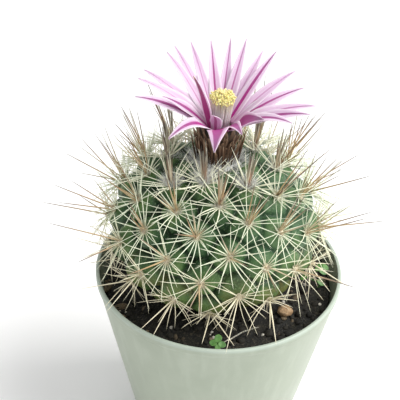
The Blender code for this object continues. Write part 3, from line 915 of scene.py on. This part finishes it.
def add_pad(bm, index, rng):
    """Add one felt pad with its edge hairs."""
    point, normal, climb, across, polar = areole_frame(index)
    age = smoothstep(math.radians(15), math.radians(80), polar)
    turn = Matrix((across, climb, normal)).transposed().to_4x4()
    place = Matrix.Translation(point) @ turn @ Matrix.Diagonal((0.72 * MM, 0.98 * MM, 0.45 * MM, 1))
    made = bmesh.ops.create_icosphere(bm, subdivisions=3, radius=1, matrix=place)
    layer = bm.verts.layers.float["age"]
    for vertex in made["verts"]:
        vertex.co += normal * 0.16 * MM * noise.noise(vertex.co / (0.35 * MM))
        vertex[layer] = age
    for _ in range(46):
        angle, out = rng.uniform(0, TURN), rng.uniform(0.2, 0.8)
        flat = climb * math.cos(angle) + across * math.sin(angle)
        aim = (flat * 1.2 * out + normal * rng.uniform(0.3, 1.3)).normalized()
        length = rng.uniform(0.7, 1.5) * MM
        bow, worn = rng.uniform(-0.3, 0.3), age * rng.uniform(0.5, 1)
        add_spine(bm, HAIR, point + flat * out * MM, aim, length, HAIR_RADIUS, bow, worn)


bm = new_piece()
rng = random.Random(22)
for index in range(FIRST, LAST + 1):
    add_pad(bm, index, rng)
pads = finish_piece("areole_pads", bm, [felt_finish()], recalculate=False)
print("pads:", len(pads.data.polygons), "faces")


# %% [markdown]
# ## Wool on the crown
#
# New areoles open out of a mat of white wool round the foot of the flower. Wool reads as wool by its loose
# ends, so a flat lumpy ball gives it body and more than a thousand fine hairs give it its soft outline.
# More tufts sit on the youngest areoles, the fullest of them in front.

# %% Wool
FLOWER_FOOT = Vector((-1.4 * MM, 1.8 * MM, CROWN_LEVEL + 0.3 * MM))


def wool_finish():
    material, tree, shader = new_material("white wool")
    _, speckle = grain(tree, 700, 3000)
    stops = [(0.0, (0.76, 0.80, 0.75)), (0.5, (0.92, 0.94, 0.90)), (1.0, (0.97, 0.97, 0.94))]
    colour = ramp(tree, speckle, stops)
    light = {"Subsurface_Weight": 0.5, "Subsurface_Radius": (1.0, 1.0, 0.9), "Subsurface_Scale": 0.5 * MM}
    coat(tree, shader, colour, 0.9, speckle, 0.6, 0.1, **light)
    return material


def add_tuft(bm, centre, normal, spread, count, length, rng):
    """Add loose hairs that leave a round patch in all directions above it."""
    side = normal.orthogonal().normalized()
    other = normal.cross(side)
    for _ in range(count):
        angle, out = rng.uniform(0, TURN), math.sqrt(rng.random())
        flat = side * math.cos(angle) + other * math.sin(angle)
        aim = (normal * rng.uniform(0.3, 1.2) + flat * rng.uniform(0, 1.2)).normalized()
        start = centre + flat * spread * out
        add_spine(bm, HAIR, start, aim, length * rng.uniform(0.6, 1.3), HAIR_RADIUS, rng.uniform(-0.35, 0.35))


def tuft_size(index, point):
    """How many hairs an areole's tuft has, and how long they are."""
    if index < 11 and point.y < 0:
        return 230, 2.6 * MM
    return (60, 1.8 * MM) if index < 12 else (24, 1.6 * MM)


WOOL_RADIUS, WOOL_HALF_HEIGHT, WOOL_TUFTS, LAST_TUFTED = 4.6 * MM, 0.9 * MM, 70, 19
bm = new_piece()
rng = random.Random(23)
made = bmesh.ops.create_uvsphere(bm, u_segments=64, v_segments=24, radius=1)
for vertex in made["verts"]:
    x, y, z = vertex.co
    lump = 1 + 0.3 * noise.noise(Vector((x, y, z)) * 4)
    wide, tall = WOOL_RADIUS * lump, WOOL_HALF_HEIGHT * lump
    vertex.co = FLOWER_FOOT + Vector((wide * x, wide * y, tall * z))
for k in range(WOOL_TUFTS):
    out = outward(TURN * k / WOOL_TUFTS)
    spot = FLOWER_FOOT + out * rng.uniform(3.6, 5.4) * MM
    add_tuft(bm, spot, (UP + out * 0.9).normalized(), 1.0 * MM, 16, 2.4 * MM, rng)
for index in range(FIRST, LAST_TUFTED + 1):
    point, normal, climb, _, _ = areole_frame(index)
    count, length = tuft_size(index, point)
    add_tuft(bm, point + climb * 0.5 * MM, (normal + climb * 0.4).normalized(), 1.4 * MM, count, length, rng)
wool = finish_piece("crown_wool_mat", bm, [wool_finish()], ["crown_wool"], recalculate=False)
print("wool:", len(wool.data.polygons), "faces")

# %% [markdown]
# ## The flower tube
#
# The flower stands on a short funnel covered in overlapping scales, dark brown with paler papery tips. The
# funnel is spun. A scale is a small pointed tongue bent round the funnel, set in six rings like tiles, with
# longer, narrower tongues over them and a ring of brown bristles outside.

# %% Flower axis
FLOWER_LEAN = Matrix.Rotation(math.radians(3), 3, "Y")
TUBE_TOP = 8.2 * MM


def on_flower(point):
    """Move a point from the flower's own frame, with its foot at the origin, onto the plant."""
    return FLOWER_FOOT + FLOWER_LEAN @ point


def tube_radius(height):
    """The funnel's radius at a height above its foot."""
    return (2.9 + 1.0 * smoothstep(2.5 * MM, TUBE_TOP, height)) * MM


def tube_finish():
    material, tree, shader = new_material("scaly tube")
    along = attribute(tree, "along")
    cloud, speckle = grain(tree, 500, 2600)
    stops = [
        (0.0, (0.035, 0.026, 0.014)),
        (0.5, (0.12, 0.062, 0.035)),
        (0.8, (0.21, 0.12, 0.07)),
        (1.0, (0.52, 0.37, 0.25)),
    ]
    scale = ramp(tree, along, stops)
    colour = mix_colours(tree, value_map(tree, speckle, 0.4, 0.9, 0, 0.45), scale, (0.07, 0.05, 0.035))
    coat(tree, shader, colour, 0.62, cloud, 0.3, 0.1)
    return material


def add_tongue(bm, angle, height, length, width, lift):
    """Add one pointed scale that hugs the funnel at its foot and stands off at its tip."""
    layer = bm.verts.layers.float["along"]
    made = bmesh.ops.create_grid(bm, x_segments=4, y_segments=6, size=1)
    for vertex in made["verts"]:
        across, along = vertex.co.x, (vertex.co.y + 1) / 2
        half = width / 2 * (1 - along ** 2.2) + 0.03 * MM
        level = height + length * along
        radius = tube_radius(level) + 0.12 * MM + lift * along ** 2 - 0.10 * MM * across * across
        around = angle + across * half / radius
        vertex.co = on_flower(Vector((radius * math.cos(around), radius * math.sin(around), level)))
        vertex[layer] = along * 0.8 + 0.2 * abs(across)


bm = new_piece()
levels = [TUBE_TOP * k / 12 for k in range(13)]
profile = [(0, 0)] + [(tube_radius(level), level) for level in levels] + [(0, TUBE_TOP)]
spun(bm, profile, 48)
for vertex in bm.verts:
    vertex.co = on_flower(vertex.co)
bmesh.ops.recalc_face_normals(bm, faces=bm.faces)
rng = random.Random(31)
for ring in range(6):
    for k in range(11):
        angle = TURN * (k + 0.5 * (ring % 2)) / 11 + rng.uniform(-0.12, 0.12)
        height = (0.2 + ring * 1.25) * MM
        length, width, lift = (rng.uniform(*span) * MM for span in ((2.6, 3.6), (1.3, 1.8), (0.2, 0.8)))
        add_tongue(bm, angle, height, length, width, lift)
for k in range(46):
    angle = TURN * k / 46 + rng.uniform(-0.08, 0.08)
    height, lift = rng.uniform(0, 1.6) * MM, rng.uniform(0.4, 1.5) * MM
    add_tongue(bm, angle, height, rng.uniform(5.2, 7.4) * MM, rng.uniform(0.45, 0.9) * MM, lift)
for k in range(44):
    angle = TURN * k / 44 + rng.uniform(-0.07, 0.07)
    out = outward(angle)
    start = on_flower(out * rng.uniform(3.2, 4.6) * MM)
    aim = (UP + out * rng.uniform(0.05, 0.3)).normalized()
    length, radius = rng.uniform(5.5, 7.4) * MM, rng.uniform(0.14, 0.24) * MM
    add_spine(bm, SPINE, start, aim, length, radius, rng.uniform(-0.06, 0.06))
skin = [tube_finish()]
tube = finish_piece("flower_tube_scaled", bm, skin, ["flower_tube"], recalculate=False)
sheet = tube.modifiers.new("scale thickness", "SOLIDIFY")
sheet.thickness = 0.08 * MM
sheet.offset = 0
print("tube:", len(tube.data.polygons), "faces")

# %% [markdown]
# ## The petals
#
# The flower opens two dozen narrow petals. A petal is a long tongue, widest a third of the way along,
# channelled along its midrib, rising from the flower in an arch. It starts as a flat grid; each point is
# moved by its place across and along the petal, and a Solidify modifier gives it a thin wall. Fifteen
# petals are a fan with small seeded differences, and nine stand apart from it.

# %% Petal list
# A petal has a bearing and a rise in degrees; a reach, an arch and a width in millimetres; a twist in
# degrees; and a tone. Rise and reach are taken from the top of the flower tube.
FAN_COUNT, FAN_FROM, FAN_TO = 15, 186, -14


def fan_petals(rng):
    """The open half of the flower: upright in the middle of the fan, flatter and more twisted at its ends."""
    lines = []
    for k in range(FAN_COUNT):
        bearing = FAN_FROM + (FAN_TO - FAN_FROM) * k / (FAN_COUNT - 1) + rng.uniform(-3, 3)
        middle = max(0, math.sin(math.radians(bearing)))
        rise = 18 + 24 * middle + rng.uniform(-3, 4)
        width = 3.1 - 0.8 * middle + rng.uniform(-0.2, 0.2)
        twist = 35 * math.cos(math.radians(bearing)) + rng.uniform(-8, 8)
        tone = rng.choice((0.15, 0.2, 0.4, 0.6, 1.0))
        lines.append((bearing, rise, rng.uniform(18.5, 20.0), 1.6 - 1.2 * middle, width, twist, tone))
    return lines


# The petals that differ from the fan: one half closed at the back, and the drooping ones in front.
SINGLE_PETALS = (
    (75, 35, 16, 0.4, 2.0, 55, 1.6),
    (-25, 20, 16, 2.5, 3.0, 25, 1.0),
    (-40, 30, 12, 1.2, 4.5, 35, 3.0),
    (-65, 20, 10, 2.2, 3.2, 15, 2.3),
    (-95, 12, 16, 3.0, 4.2, 20, 2.2),
    (-110, 45, 7, 1.0, 2.5, 0, 0.4),
    (-130, 12, 16, 3.2, 3.2, -15, 1.3),
    (-145, 60, 15, 0.8, 1.8, 40, 1.4),
    (-170, 30, 14, 1.0, 2.8, -25, 1.2),
)
PETALS = fan_petals(random.Random(5)) + list(SINGLE_PETALS)
RECEPTACLE = 2.5 * MM
print("petals:", len(PETALS))


# %% [markdown]
# A petal's colour runs along its own length, so each has a UV map: U across, V along. Its face is pale
# lilac with a magenta stripe down the midrib, paling to the margins and flushed at the base; its back has
# a broader stripe. Fine veins run lengthwise. The tone says how strong a petal's stripe is.

# %% Petal finishes
def petal_material(name, margin, body, stripes, reach):
    """A petal's face or back: a stripe down the midrib over a ground that pales to the margins."""
    material, tree, shader = new_material(name)
    place = tree.nodes.new("ShaderNodeUVMap")
    place.uv_map = "petal"
    split = tree.nodes.new("ShaderNodeSeparateXYZ")
    link(tree, place.outputs["UV"], split.inputs["Vector"])
    across = math_node(tree, "ABSOLUTE", math_node(tree, "SUBTRACT", split.outputs["X"], 0.5), 0)
    along = split.outputs["Y"]
    tone = attribute(tree, "tone")
    stretch = node(tree, "ShaderNodeMapping", Scale=(22, 1.6, 1))
    link(tree, place.outputs["UV"], stretch.inputs["Vector"])
    veins = node(tree, "ShaderNodeTexNoise", Scale=1.0, Detail=4.0, Roughness=0.55)
    link(tree, stretch.outputs["Vector"], veins.inputs["Vector"])
    stripe = ramp(tree, along, stripes)
    wide = math_node(tree, "MULTIPLY", math_node(tree, "ADD", 0.22, tone), reach)
    ragged = value_map(tree, veins.outputs["Fac"], 0.3, 0.7, -0.04, 0.04)
    broad_foot = value_map(tree, along, 0.0, 1.0, 0.03, 0.0)
    edge = math_node(tree, "ADD", math_node(tree, "ADD", wide, broad_foot), ragged)
    core = value_map(tree, math_node(tree, "SUBTRACT", edge, across), -0.03, 0.04)
    strength = math_node(tree, "MULTIPLY", core, value_map(tree, tone, 0.0, 0.7, 0.4, 1.0))
    ground = mix_colours(tree, value_map(tree, across, 0.22, 0.47), body, margin)
    veined = mix_colours(tree, value_map(tree, veins.outputs["Fac"], 0.47, 0.62, 0, 0.28), ground, stripe)
    flushed = mix_colours(tree, value_map(tree, along, 0.34, 0.0, 0, 0.45), veined, stripe)
    deepened = mix_colours(tree, value_map(tree, tone, 0.9, 2.4, 0, 0.3), flushed, stripe)
    striped = mix_colours(tree, strength, deepened, stripe)
    light = {"Subsurface_Weight": 0.85, "Subsurface_Radius": (1.0, 0.8, 0.95), "Subsurface_Scale": 0.35 * MM}
    coat(tree, shader, striped, 0.55, veins.outputs["Fac"], 0.35, 0.08, Specular_IOR_Level=0.25, **light)
    return material


FACE_STRIPE = [
    (0.0, (0.36, 0.015, 0.21)),
    (0.35, (0.33, 0.03, 0.20)),
    (0.75, (0.30, 0.085, 0.23)),
    (1.0, (0.21, 0.12, 0.19)),
]
BACK_STRIPE = [
    (0.0, (0.30, 0.03, 0.16)),
    (0.5, (0.30, 0.04, 0.17)),
    (0.93, (0.24, 0.09, 0.13)),
    (1.0, (0.50, 0.40, 0.12)),
]
PETAL_FACE = petal_material("petal face", (0.69, 0.60, 0.69), (0.61, 0.48, 0.61), FACE_STRIPE, 0.105)
PETAL_BACK = petal_material("petal back", (0.70, 0.60, 0.69), (0.62, 0.48, 0.61), BACK_STRIPE, 0.19)


# %% [markdown]
# One function shapes every petal from its line of the list, and each petal stands for the engineering petal
# whose bearing is nearest.

# %% Petal shape
def bearing_vector(bearing, rise=0.0):
    """The unit direction with this bearing and rise, in degrees."""
    a, b = math.radians(bearing), math.radians(rise)
    return Vector((math.cos(a) * math.cos(b), math.sin(a) * math.cos(b), math.sin(b)))


def make_petal(name, line, replaces):
    """Shape one petal from its line of the list."""
    bearing, rise, reach, arch, width, twist, tone = line
    bm = bmesh.new()
    uv = bm.loops.layers.uv.new("petal")
    tone_layer = bm.verts.layers.float.new("tone")
    bmesh.ops.create_grid(bm, x_segments=22, y_segments=8, size=1)
    for face in bm.faces:
        for loop in face.loops:
            loop[uv].uv = ((loop.vert.co.y + 1) / 2, (loop.vert.co.x + 1) / 2)
    foot = bearing_vector(bearing) * RECEPTACLE
    chord = bearing_vector(bearing, rise) * reach * MM - foot
    forward = chord.normalized()
    sideways = UP.cross(forward).normalized()
    lifted = forward.cross(sideways)
    for vertex in bm.verts:
        vertex[tone_layer] = tone
        along, side = (vertex.co.x + 1) / 2, vertex.co.y
        spread = min(1, 0.50 + 1.5 * along)
        point = 1 - max(0, (along - 0.34) / 0.66) ** 1.7
        half = width * MM / 2 * spread * point + 0.09 * MM
        wave = 0.10 * half * math.sin(8 * along + bearing)
        bend = arch * MM * 3.4 * along ** 1.2 * (1 - along)
        angle = math.radians(twist) * (0.35 + 0.65 * along)
        channel = 0.16 * half * side * side
        across = half * side * math.cos(angle) - channel * math.sin(angle)
        up = half * side * math.sin(angle) + channel * math.cos(angle) + wave * side
        place = foot + UP * TUBE_TOP + chord * along + sideways * across + lifted * (bend + up)
        vertex.co = on_flower(place)
    petal = finish_piece(name, bm, [PETAL_FACE, PETAL_BACK], replaces, recalculate=False)
    wall = petal.modifiers.new("petal thickness", "SOLIDIFY")
    wall.thickness = 0.11 * MM
    wall.offset = -1
    wall.material_offset = 1
    wall.material_offset_rim = 0
    return petal


def petal_nodes():
    """Share the engineering petals out: each goes to the listed petal with the nearest bearing left."""
    left = {}
    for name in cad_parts:
        if "petal" in name:
            _, _, middle = box_of(name)
            left[name] = math.degrees(math.atan2(middle.y - FLOWER_FOOT.y, middle.x - FLOWER_FOOT.x))
    shared = []
    for line in PETALS:
        name = min(sorted(left), key=lambda n: abs((left[n] - line[0] + 180) % 360 - 180))
        del left[name]
        shared.append(name)
    return shared


for number, (line, stands_for) in enumerate(zip(PETALS, petal_nodes()), 1):
    make_petal(f"petal_{number:02d}", line, [stands_for])

# %% [markdown]
# ## Stamens and style
#
# In the middle stands a tight column of pinkish filaments under yellow anthers, round one style. Filaments
# are the unit hair again, and an anther is two small balls pressed long. They are set in a sunflower
# spiral, which fills a disc evenly.

# %% Stamens
def stamen_finish():
    material, tree, shader = new_material("filaments and anthers")
    along = attribute(tree, "along")
    _, speckle = grain(tree, 900, 3500)
    stops = [
        (0.0, (0.99, 0.80, 0.84)),
        (0.6, (0.99, 0.90, 0.90)),
        (0.85, (0.92, 0.80, 0.55)),
        (1.0, (0.90, 0.79, 0.32)),
    ]
    colour = ramp(tree, along, stops)
    dusted = mix_colours(tree, value_map(tree, speckle, 0.5, 0.9, 0, 0.15), colour, (0.72, 0.56, 0.2))
    light = {"Subsurface_Weight": 0.6, "Subsurface_Radius": (1.0, 0.7, 0.7), "Subsurface_Scale": 0.4 * MM}
    coat(tree, shader, dusted, 0.8, speckle, 0.5, 0.06, **light)
    return material


STAMEN_TOP = 15.6 * MM
STAMENS = 210
ball = bmesh.new()
bmesh.ops.create_icosphere(ball, subdivisions=1, radius=1)
ANTHER = make_pattern("anther_pattern", ball)
ANTHER_SIZE = Matrix.Diagonal((0.17 * MM, 0.13 * MM, 0.28 * MM, 1))
bm = new_piece()
rng = random.Random(41)
for k in range(STAMENS):
    share = math.sqrt((k + 4) / (STAMENS + 4))
    angle = k * math.radians(137.5)
    out = outward(angle)
    foot = out * 1.6 * MM * share + UP * (TUBE_TOP - 1.2 * MM)
    level = STAMEN_TOP - 0.9 * MM * share ** 5 + rng.uniform(-0.8, 0.35) * MM
    head = out * 2.6 * MM * share + UP * level
    rod = on_flower(head) - on_flower(foot)
    bow = rng.uniform(-0.02, 0.02)
    add_spine(bm, HAIR, on_flower(foot), rod.normalized(), rod.length * 1.02, 0.17 * MM, bow)
    for _ in range(2):
        turn = Euler((rng.uniform(-1.2, 1.2), rng.uniform(-1.2, 1.2), angle)).to_matrix().to_4x4()
        nudge = Vector((rng.uniform(-0.12, 0.12), rng.uniform(-0.12, 0.12), rng.uniform(-0.4, 0.2))) * MM
        place = Matrix.Translation(on_flower(head) + nudge) @ turn @ ANTHER_SIZE
        add_copy(bm, ANTHER, placed(ANTHER, place), 1.0)
finishes = [stamen_finish()]
stamens = finish_piece("stamen_column", bm, finishes, ["stamens"], recalculate=False)
print("stamens:", len(stamens.data.polygons), "faces")


# %% [markdown]
# The style is one stout unit spine through the middle of the column. Its stigma opens in six short lobes.

# %% Style
STYLE = two_tone("pale style", (800, 3000), (0.82, 0.70, 0.34), (0.92, 0.82, 0.56), 0.6, 0.4, 0.05)
LOBES = 6
bm = new_piece()
rod = on_flower(UP * (STAMEN_TOP + 0.5 * MM)) - on_flower(UP * TUBE_TOP)
add_spine(bm, SPINE, on_flower(UP * TUBE_TOP), rod.normalized(), rod.length, 0.3 * MM)
stigma = on_flower(UP * (STAMEN_TOP - 0.1 * MM))
for k in range(LOBES):
    angle = TURN * k / LOBES
    lobe = Vector((math.cos(angle), math.sin(angle), 0.9)).normalized()
    add_spine(bm, SPINE, stigma, FLOWER_LEAN @ lobe, 1.3 * MM, 0.22 * MM, 0.1)
finish_piece("style_and_stigma", bm, [STYLE], ["style"], recalculate=False)
print("stigma lobes:", LOBES)


# %% [markdown]
# ## Small things on the soil
#
# Two seedling weeds, a pebble and a dry rootlet lie in the gap between stem and pot. They are tiny, but
# they are what makes the pot look lived in. A leaf is a cupped ball and a stalk is a chain of unit spines.

# %% Seedlings
def add_leaf(bm, centre, facing, bearing, length, width):
    """Add one cupped oval leaf."""
    normal = facing.normalized()
    forward = outward(bearing)
    forward = (forward - normal * forward.dot(normal)).normalized()
    side = normal.cross(forward)
    made = bmesh.ops.create_uvsphere(bm, u_segments=20, v_segments=12, radius=1)
    for vertex in made["verts"]:
        x, y, z = vertex.co
        cup = 0.22 * (x * x + y * y)
        heart = 1 - 0.25 * smoothstep(0.5, 1.0, x)
        flat = forward * length * x + side * width * y * heart
        vertex.co = centre + flat + normal * (0.14 * MM * z + cup * width)


def add_stalk(bm, points, radius):
    """Add a round stalk through points, as a chain of overlapping unit spines."""
    for first, second in zip(points, points[1:]):
        rod = second - first
        add_spine(bm, SPINE, first - rod * 0.08, rod.normalized(), rod.length * 1.9, radius)


LEAF = two_tone("seedling leaf", (600, 2500), (0.04, 0.14, 0.02), (0.12, 0.28, 0.06), 0.45, 0.3, 0.05)
low, high, middle = box_of("seedling_front")
bm = new_piece()
ground = Vector((middle.x, middle.y, low[2] - 0.3 * MM))
crown = Vector((middle.x, middle.y, high[2] - 0.5 * MM))
add_stalk(bm, [ground, ground.lerp(crown, 0.5), crown], 0.2 * MM)
# Each leaf: its place from the top of the stalk, its half length and its half width, in millimetres.
FRONT_LEAVES = (
    (0.2, 1.0, 0.7, 0.9, 0.8),
    (1.0, -0.3, 0.3, 0.85, 0.7),
    (-0.8, 0.1, 0.3, 0.8, 0.7),
    (0.1, -1.0, 0.0, 0.75, 0.6),
)
for dx, dy, dz, length, width in FRONT_LEAVES:
    centre = crown + Vector((dx, dy, dz)) * MM
    add_leaf(bm, centre, Vector((0.1 * dx, -0.5, 1)), math.atan2(dy, dx), length * MM, width * MM)
finish_piece("front_seedling_plant", bm, [LEAF], ["seedling_front"], recalculate=False)

low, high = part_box("seedling_side")
foot = Vector((low[0] + 1.6 * MM, low[1] + 0.6 * MM, low[2] - 0.3 * MM))
bm = new_piece()
loop_points = []
for k in range(13):
    share = k / 12
    swing = 1.5 * MM * math.sin(2.6 * math.pi * share)
    loop_points.append(foot + Vector((swing, 1.9 * MM * share, 5.0 * MM * share)))
add_stalk(bm, loop_points, 0.2 * MM)
# Each leaf: its step up the stalk, then its place aside and forward and its half length, in millimetres.
SIDE_LEAVES = (
    (4, 0.8, 0.7, 1.0),
    (7, -0.9, 0.8, 1.0),
    (10, 0.9, 0.7, 1.1),
    (12, -0.5, 0.6, 1.2),
    (12, 0.7, 0.5, 1.0),
)
for step, dx, dy, length in SIDE_LEAVES:
    centre = loop_points[step] + Vector((dx, -dy, 0.3)) * MM
    add_leaf(bm, centre, Vector((0.2 * dx, -0.6, 0.8)), math.atan2(-dy, dx), length * MM, 0.6 * length * MM)
finish_piece("side_seedling_plant", bm, [LEAF], ["seedling_side"], recalculate=False)
print("leaves:", len(FRONT_LEAVES) + len(SIDE_LEAVES))


# %% [markdown]
# The pebble is a ball stretched to the engineering pebble's box and roughened by noise.

# %% Pebble
def stone_finish():
    material, tree, shader = new_material("ochre stone")
    cloud, speckle = grain(tree, 700, 2600)
    base = ramp(tree, cloud, [(0.0, (0.26, 0.15, 0.07)), (1.0, (0.48, 0.32, 0.18))])
    colour = mix_colours(tree, value_map(tree, speckle, 0.6, 0.9, 0, 0.5), base, (0.14, 0.09, 0.05))
    coat(tree, shader, colour, 0.7, speckle, 0.5, 0.1)
    return material


low, high, middle = box_of("pebble")
size = Vector([(b - a) / 2 for a, b in zip(low, high)])
bm = bmesh.new()
bmesh.ops.create_icosphere(bm, subdivisions=4, radius=1)
for vertex in bm.verts:
    rough = 1 + 0.2 * noise.noise(vertex.co * 1.7 + Vector((3, 1, 2)))
    vertex.co = middle + Vector((vertex.co.x * size.x, vertex.co.y * size.y, vertex.co.z * size.z)) * rough
pebble = finish_piece("pebble_stone", bm, [stone_finish()], ["pebble"])
print("pebble:", len(pebble.data.polygons), "faces")


# %% [markdown]
# The dry rootlet is a thread that lies along the soil and lifts at its far end.

# %% Rootlet
def root_finish():
    material, tree, shader = new_material("dry root")
    _, speckle = grain(tree, 500, 2800)
    colour = ramp(tree, speckle, [(0.0, (0.50, 0.46, 0.36)), (1.0, (0.78, 0.76, 0.66))])
    coat(tree, shader, colour, 0.85, speckle, 0.4, 0.05)
    return material


low, high, _ = box_of("rootlet")
bm = new_piece()
points = []
for k in range(15):
    share = k / 14
    x = low[0] + (high[0] - low[0]) * share
    y = low[1] + (high[1] - low[1]) * math.sin(2.2 * share) / math.sin(1.57)
    points.append(Vector((x, y, soil_height(x, y) + 0.3 * MM + 2.6 * MM * share ** 2)))
add_stalk(bm, points, 0.19 * MM)
finish_piece("rootlet_thread", bm, [root_finish()], ["rootlet"], recalculate=False)
print("rootlet points:", len(points))


# %% [markdown]
# ## Floor, light and camera
#
# The plant stands on a plain pale floor, which is part of the stage and not of the object.

# %% Floor
FLOOR_PAINT = two_tone("pale floor", (6, 400), (0.90, 0.90, 0.90), (0.93, 0.93, 0.93), 0.9, 0.02, 0.1)
bm = bmesh.new()
bmesh.ops.create_grid(bm, x_segments=1, y_segments=1, size=3.0)
mesh = bpy.data.meshes.new("floor")
bm.to_mesh(mesh)
bm.free()
floor = bpy.data.objects.new("floor", mesh)
floor.data.materials.append(FLOOR_PAINT)
bpy.context.scene.collection.objects.link(floor)
print("floor laid")


# %% [markdown]
# Soft, bright light comes from all round, with one broad lamp high on the right, so that colours stay clean
# and shadows stay faint.

# %% Light
def area_light(name, place, target, size, power, colour):
    """Add a square soft light that faces a target."""
    lamp = bpy.data.lights.new(name, "AREA")
    lamp.shape = "SQUARE"
    lamp.size = size
    lamp.energy = power
    lamp.color = colour
    holder = bpy.data.objects.new(name, lamp)
    holder.location = place
    holder.rotation_euler = (Vector(target) - Vector(place)).to_track_quat("-Z", "Y").to_euler()
    bpy.context.scene.collection.objects.link(holder)


world = bpy.data.worlds.new("studio")
world.use_nodes = True
world.node_tree.nodes["Background"].inputs["Color"].default_value = (1.0, 1.0, 1.0, 1)
world.node_tree.nodes["Background"].inputs["Strength"].default_value = 0.75
bpy.context.scene.world = world
area_light("key", (0.62, -0.1, 0.75), (0, 0, 0.06), 0.7, 12.0, (1.0, 0.99, 0.97))
bpy.context.scene.view_settings.view_transform = "Standard"
bpy.context.scene.view_settings.look = "None"
print("lamps:", len(bpy.data.lights))

# %% [markdown]
# The camera looks down at about two fifths of a right angle, rolled by a degree and a half, and stands
# close, so the flower looks large against the pot.

# %% Camera
CAMERA_AT = Vector((-4.573, -146.897, 169.854)) * MM
ELEVATION = math.radians(35.2)
ROLL = math.radians(1.57)
LENS, SENSOR = 75.87, 36.0
look = Vector((0, math.cos(ELEVATION), -math.sin(ELEVATION)))
flat_up = Vector((0, math.sin(ELEVATION), math.cos(ELEVATION)))
right = Vector((math.cos(ROLL), 0, 0)) + flat_up * math.sin(ROLL)
above = flat_up * math.cos(ROLL) - Vector((math.sin(ROLL), 0, 0))
camera = bpy.data.objects.new("camera", bpy.data.cameras.new("camera"))
camera.data.sensor_width = SENSOR
camera.data.lens = LENS
camera.data.clip_start = 1 * MM
camera.matrix_world = Matrix.Translation(CAMERA_AT) @ Matrix((right, above, -look)).transposed().to_4x4()
bpy.context.scene.collection.objects.link(camera)
bpy.context.scene.camera = camera
print("lens in mm:", LENS)

# %% [markdown]
#
# The looks may stand a little proud of the engineering model, but no more. The spine, hair and anther
# patterns are no longer needed and are removed.

# %% Clearing the patterns
for pattern in (SPINE, HAIR, ANTHER):
    bpy.data.meshes.remove(pattern[0])
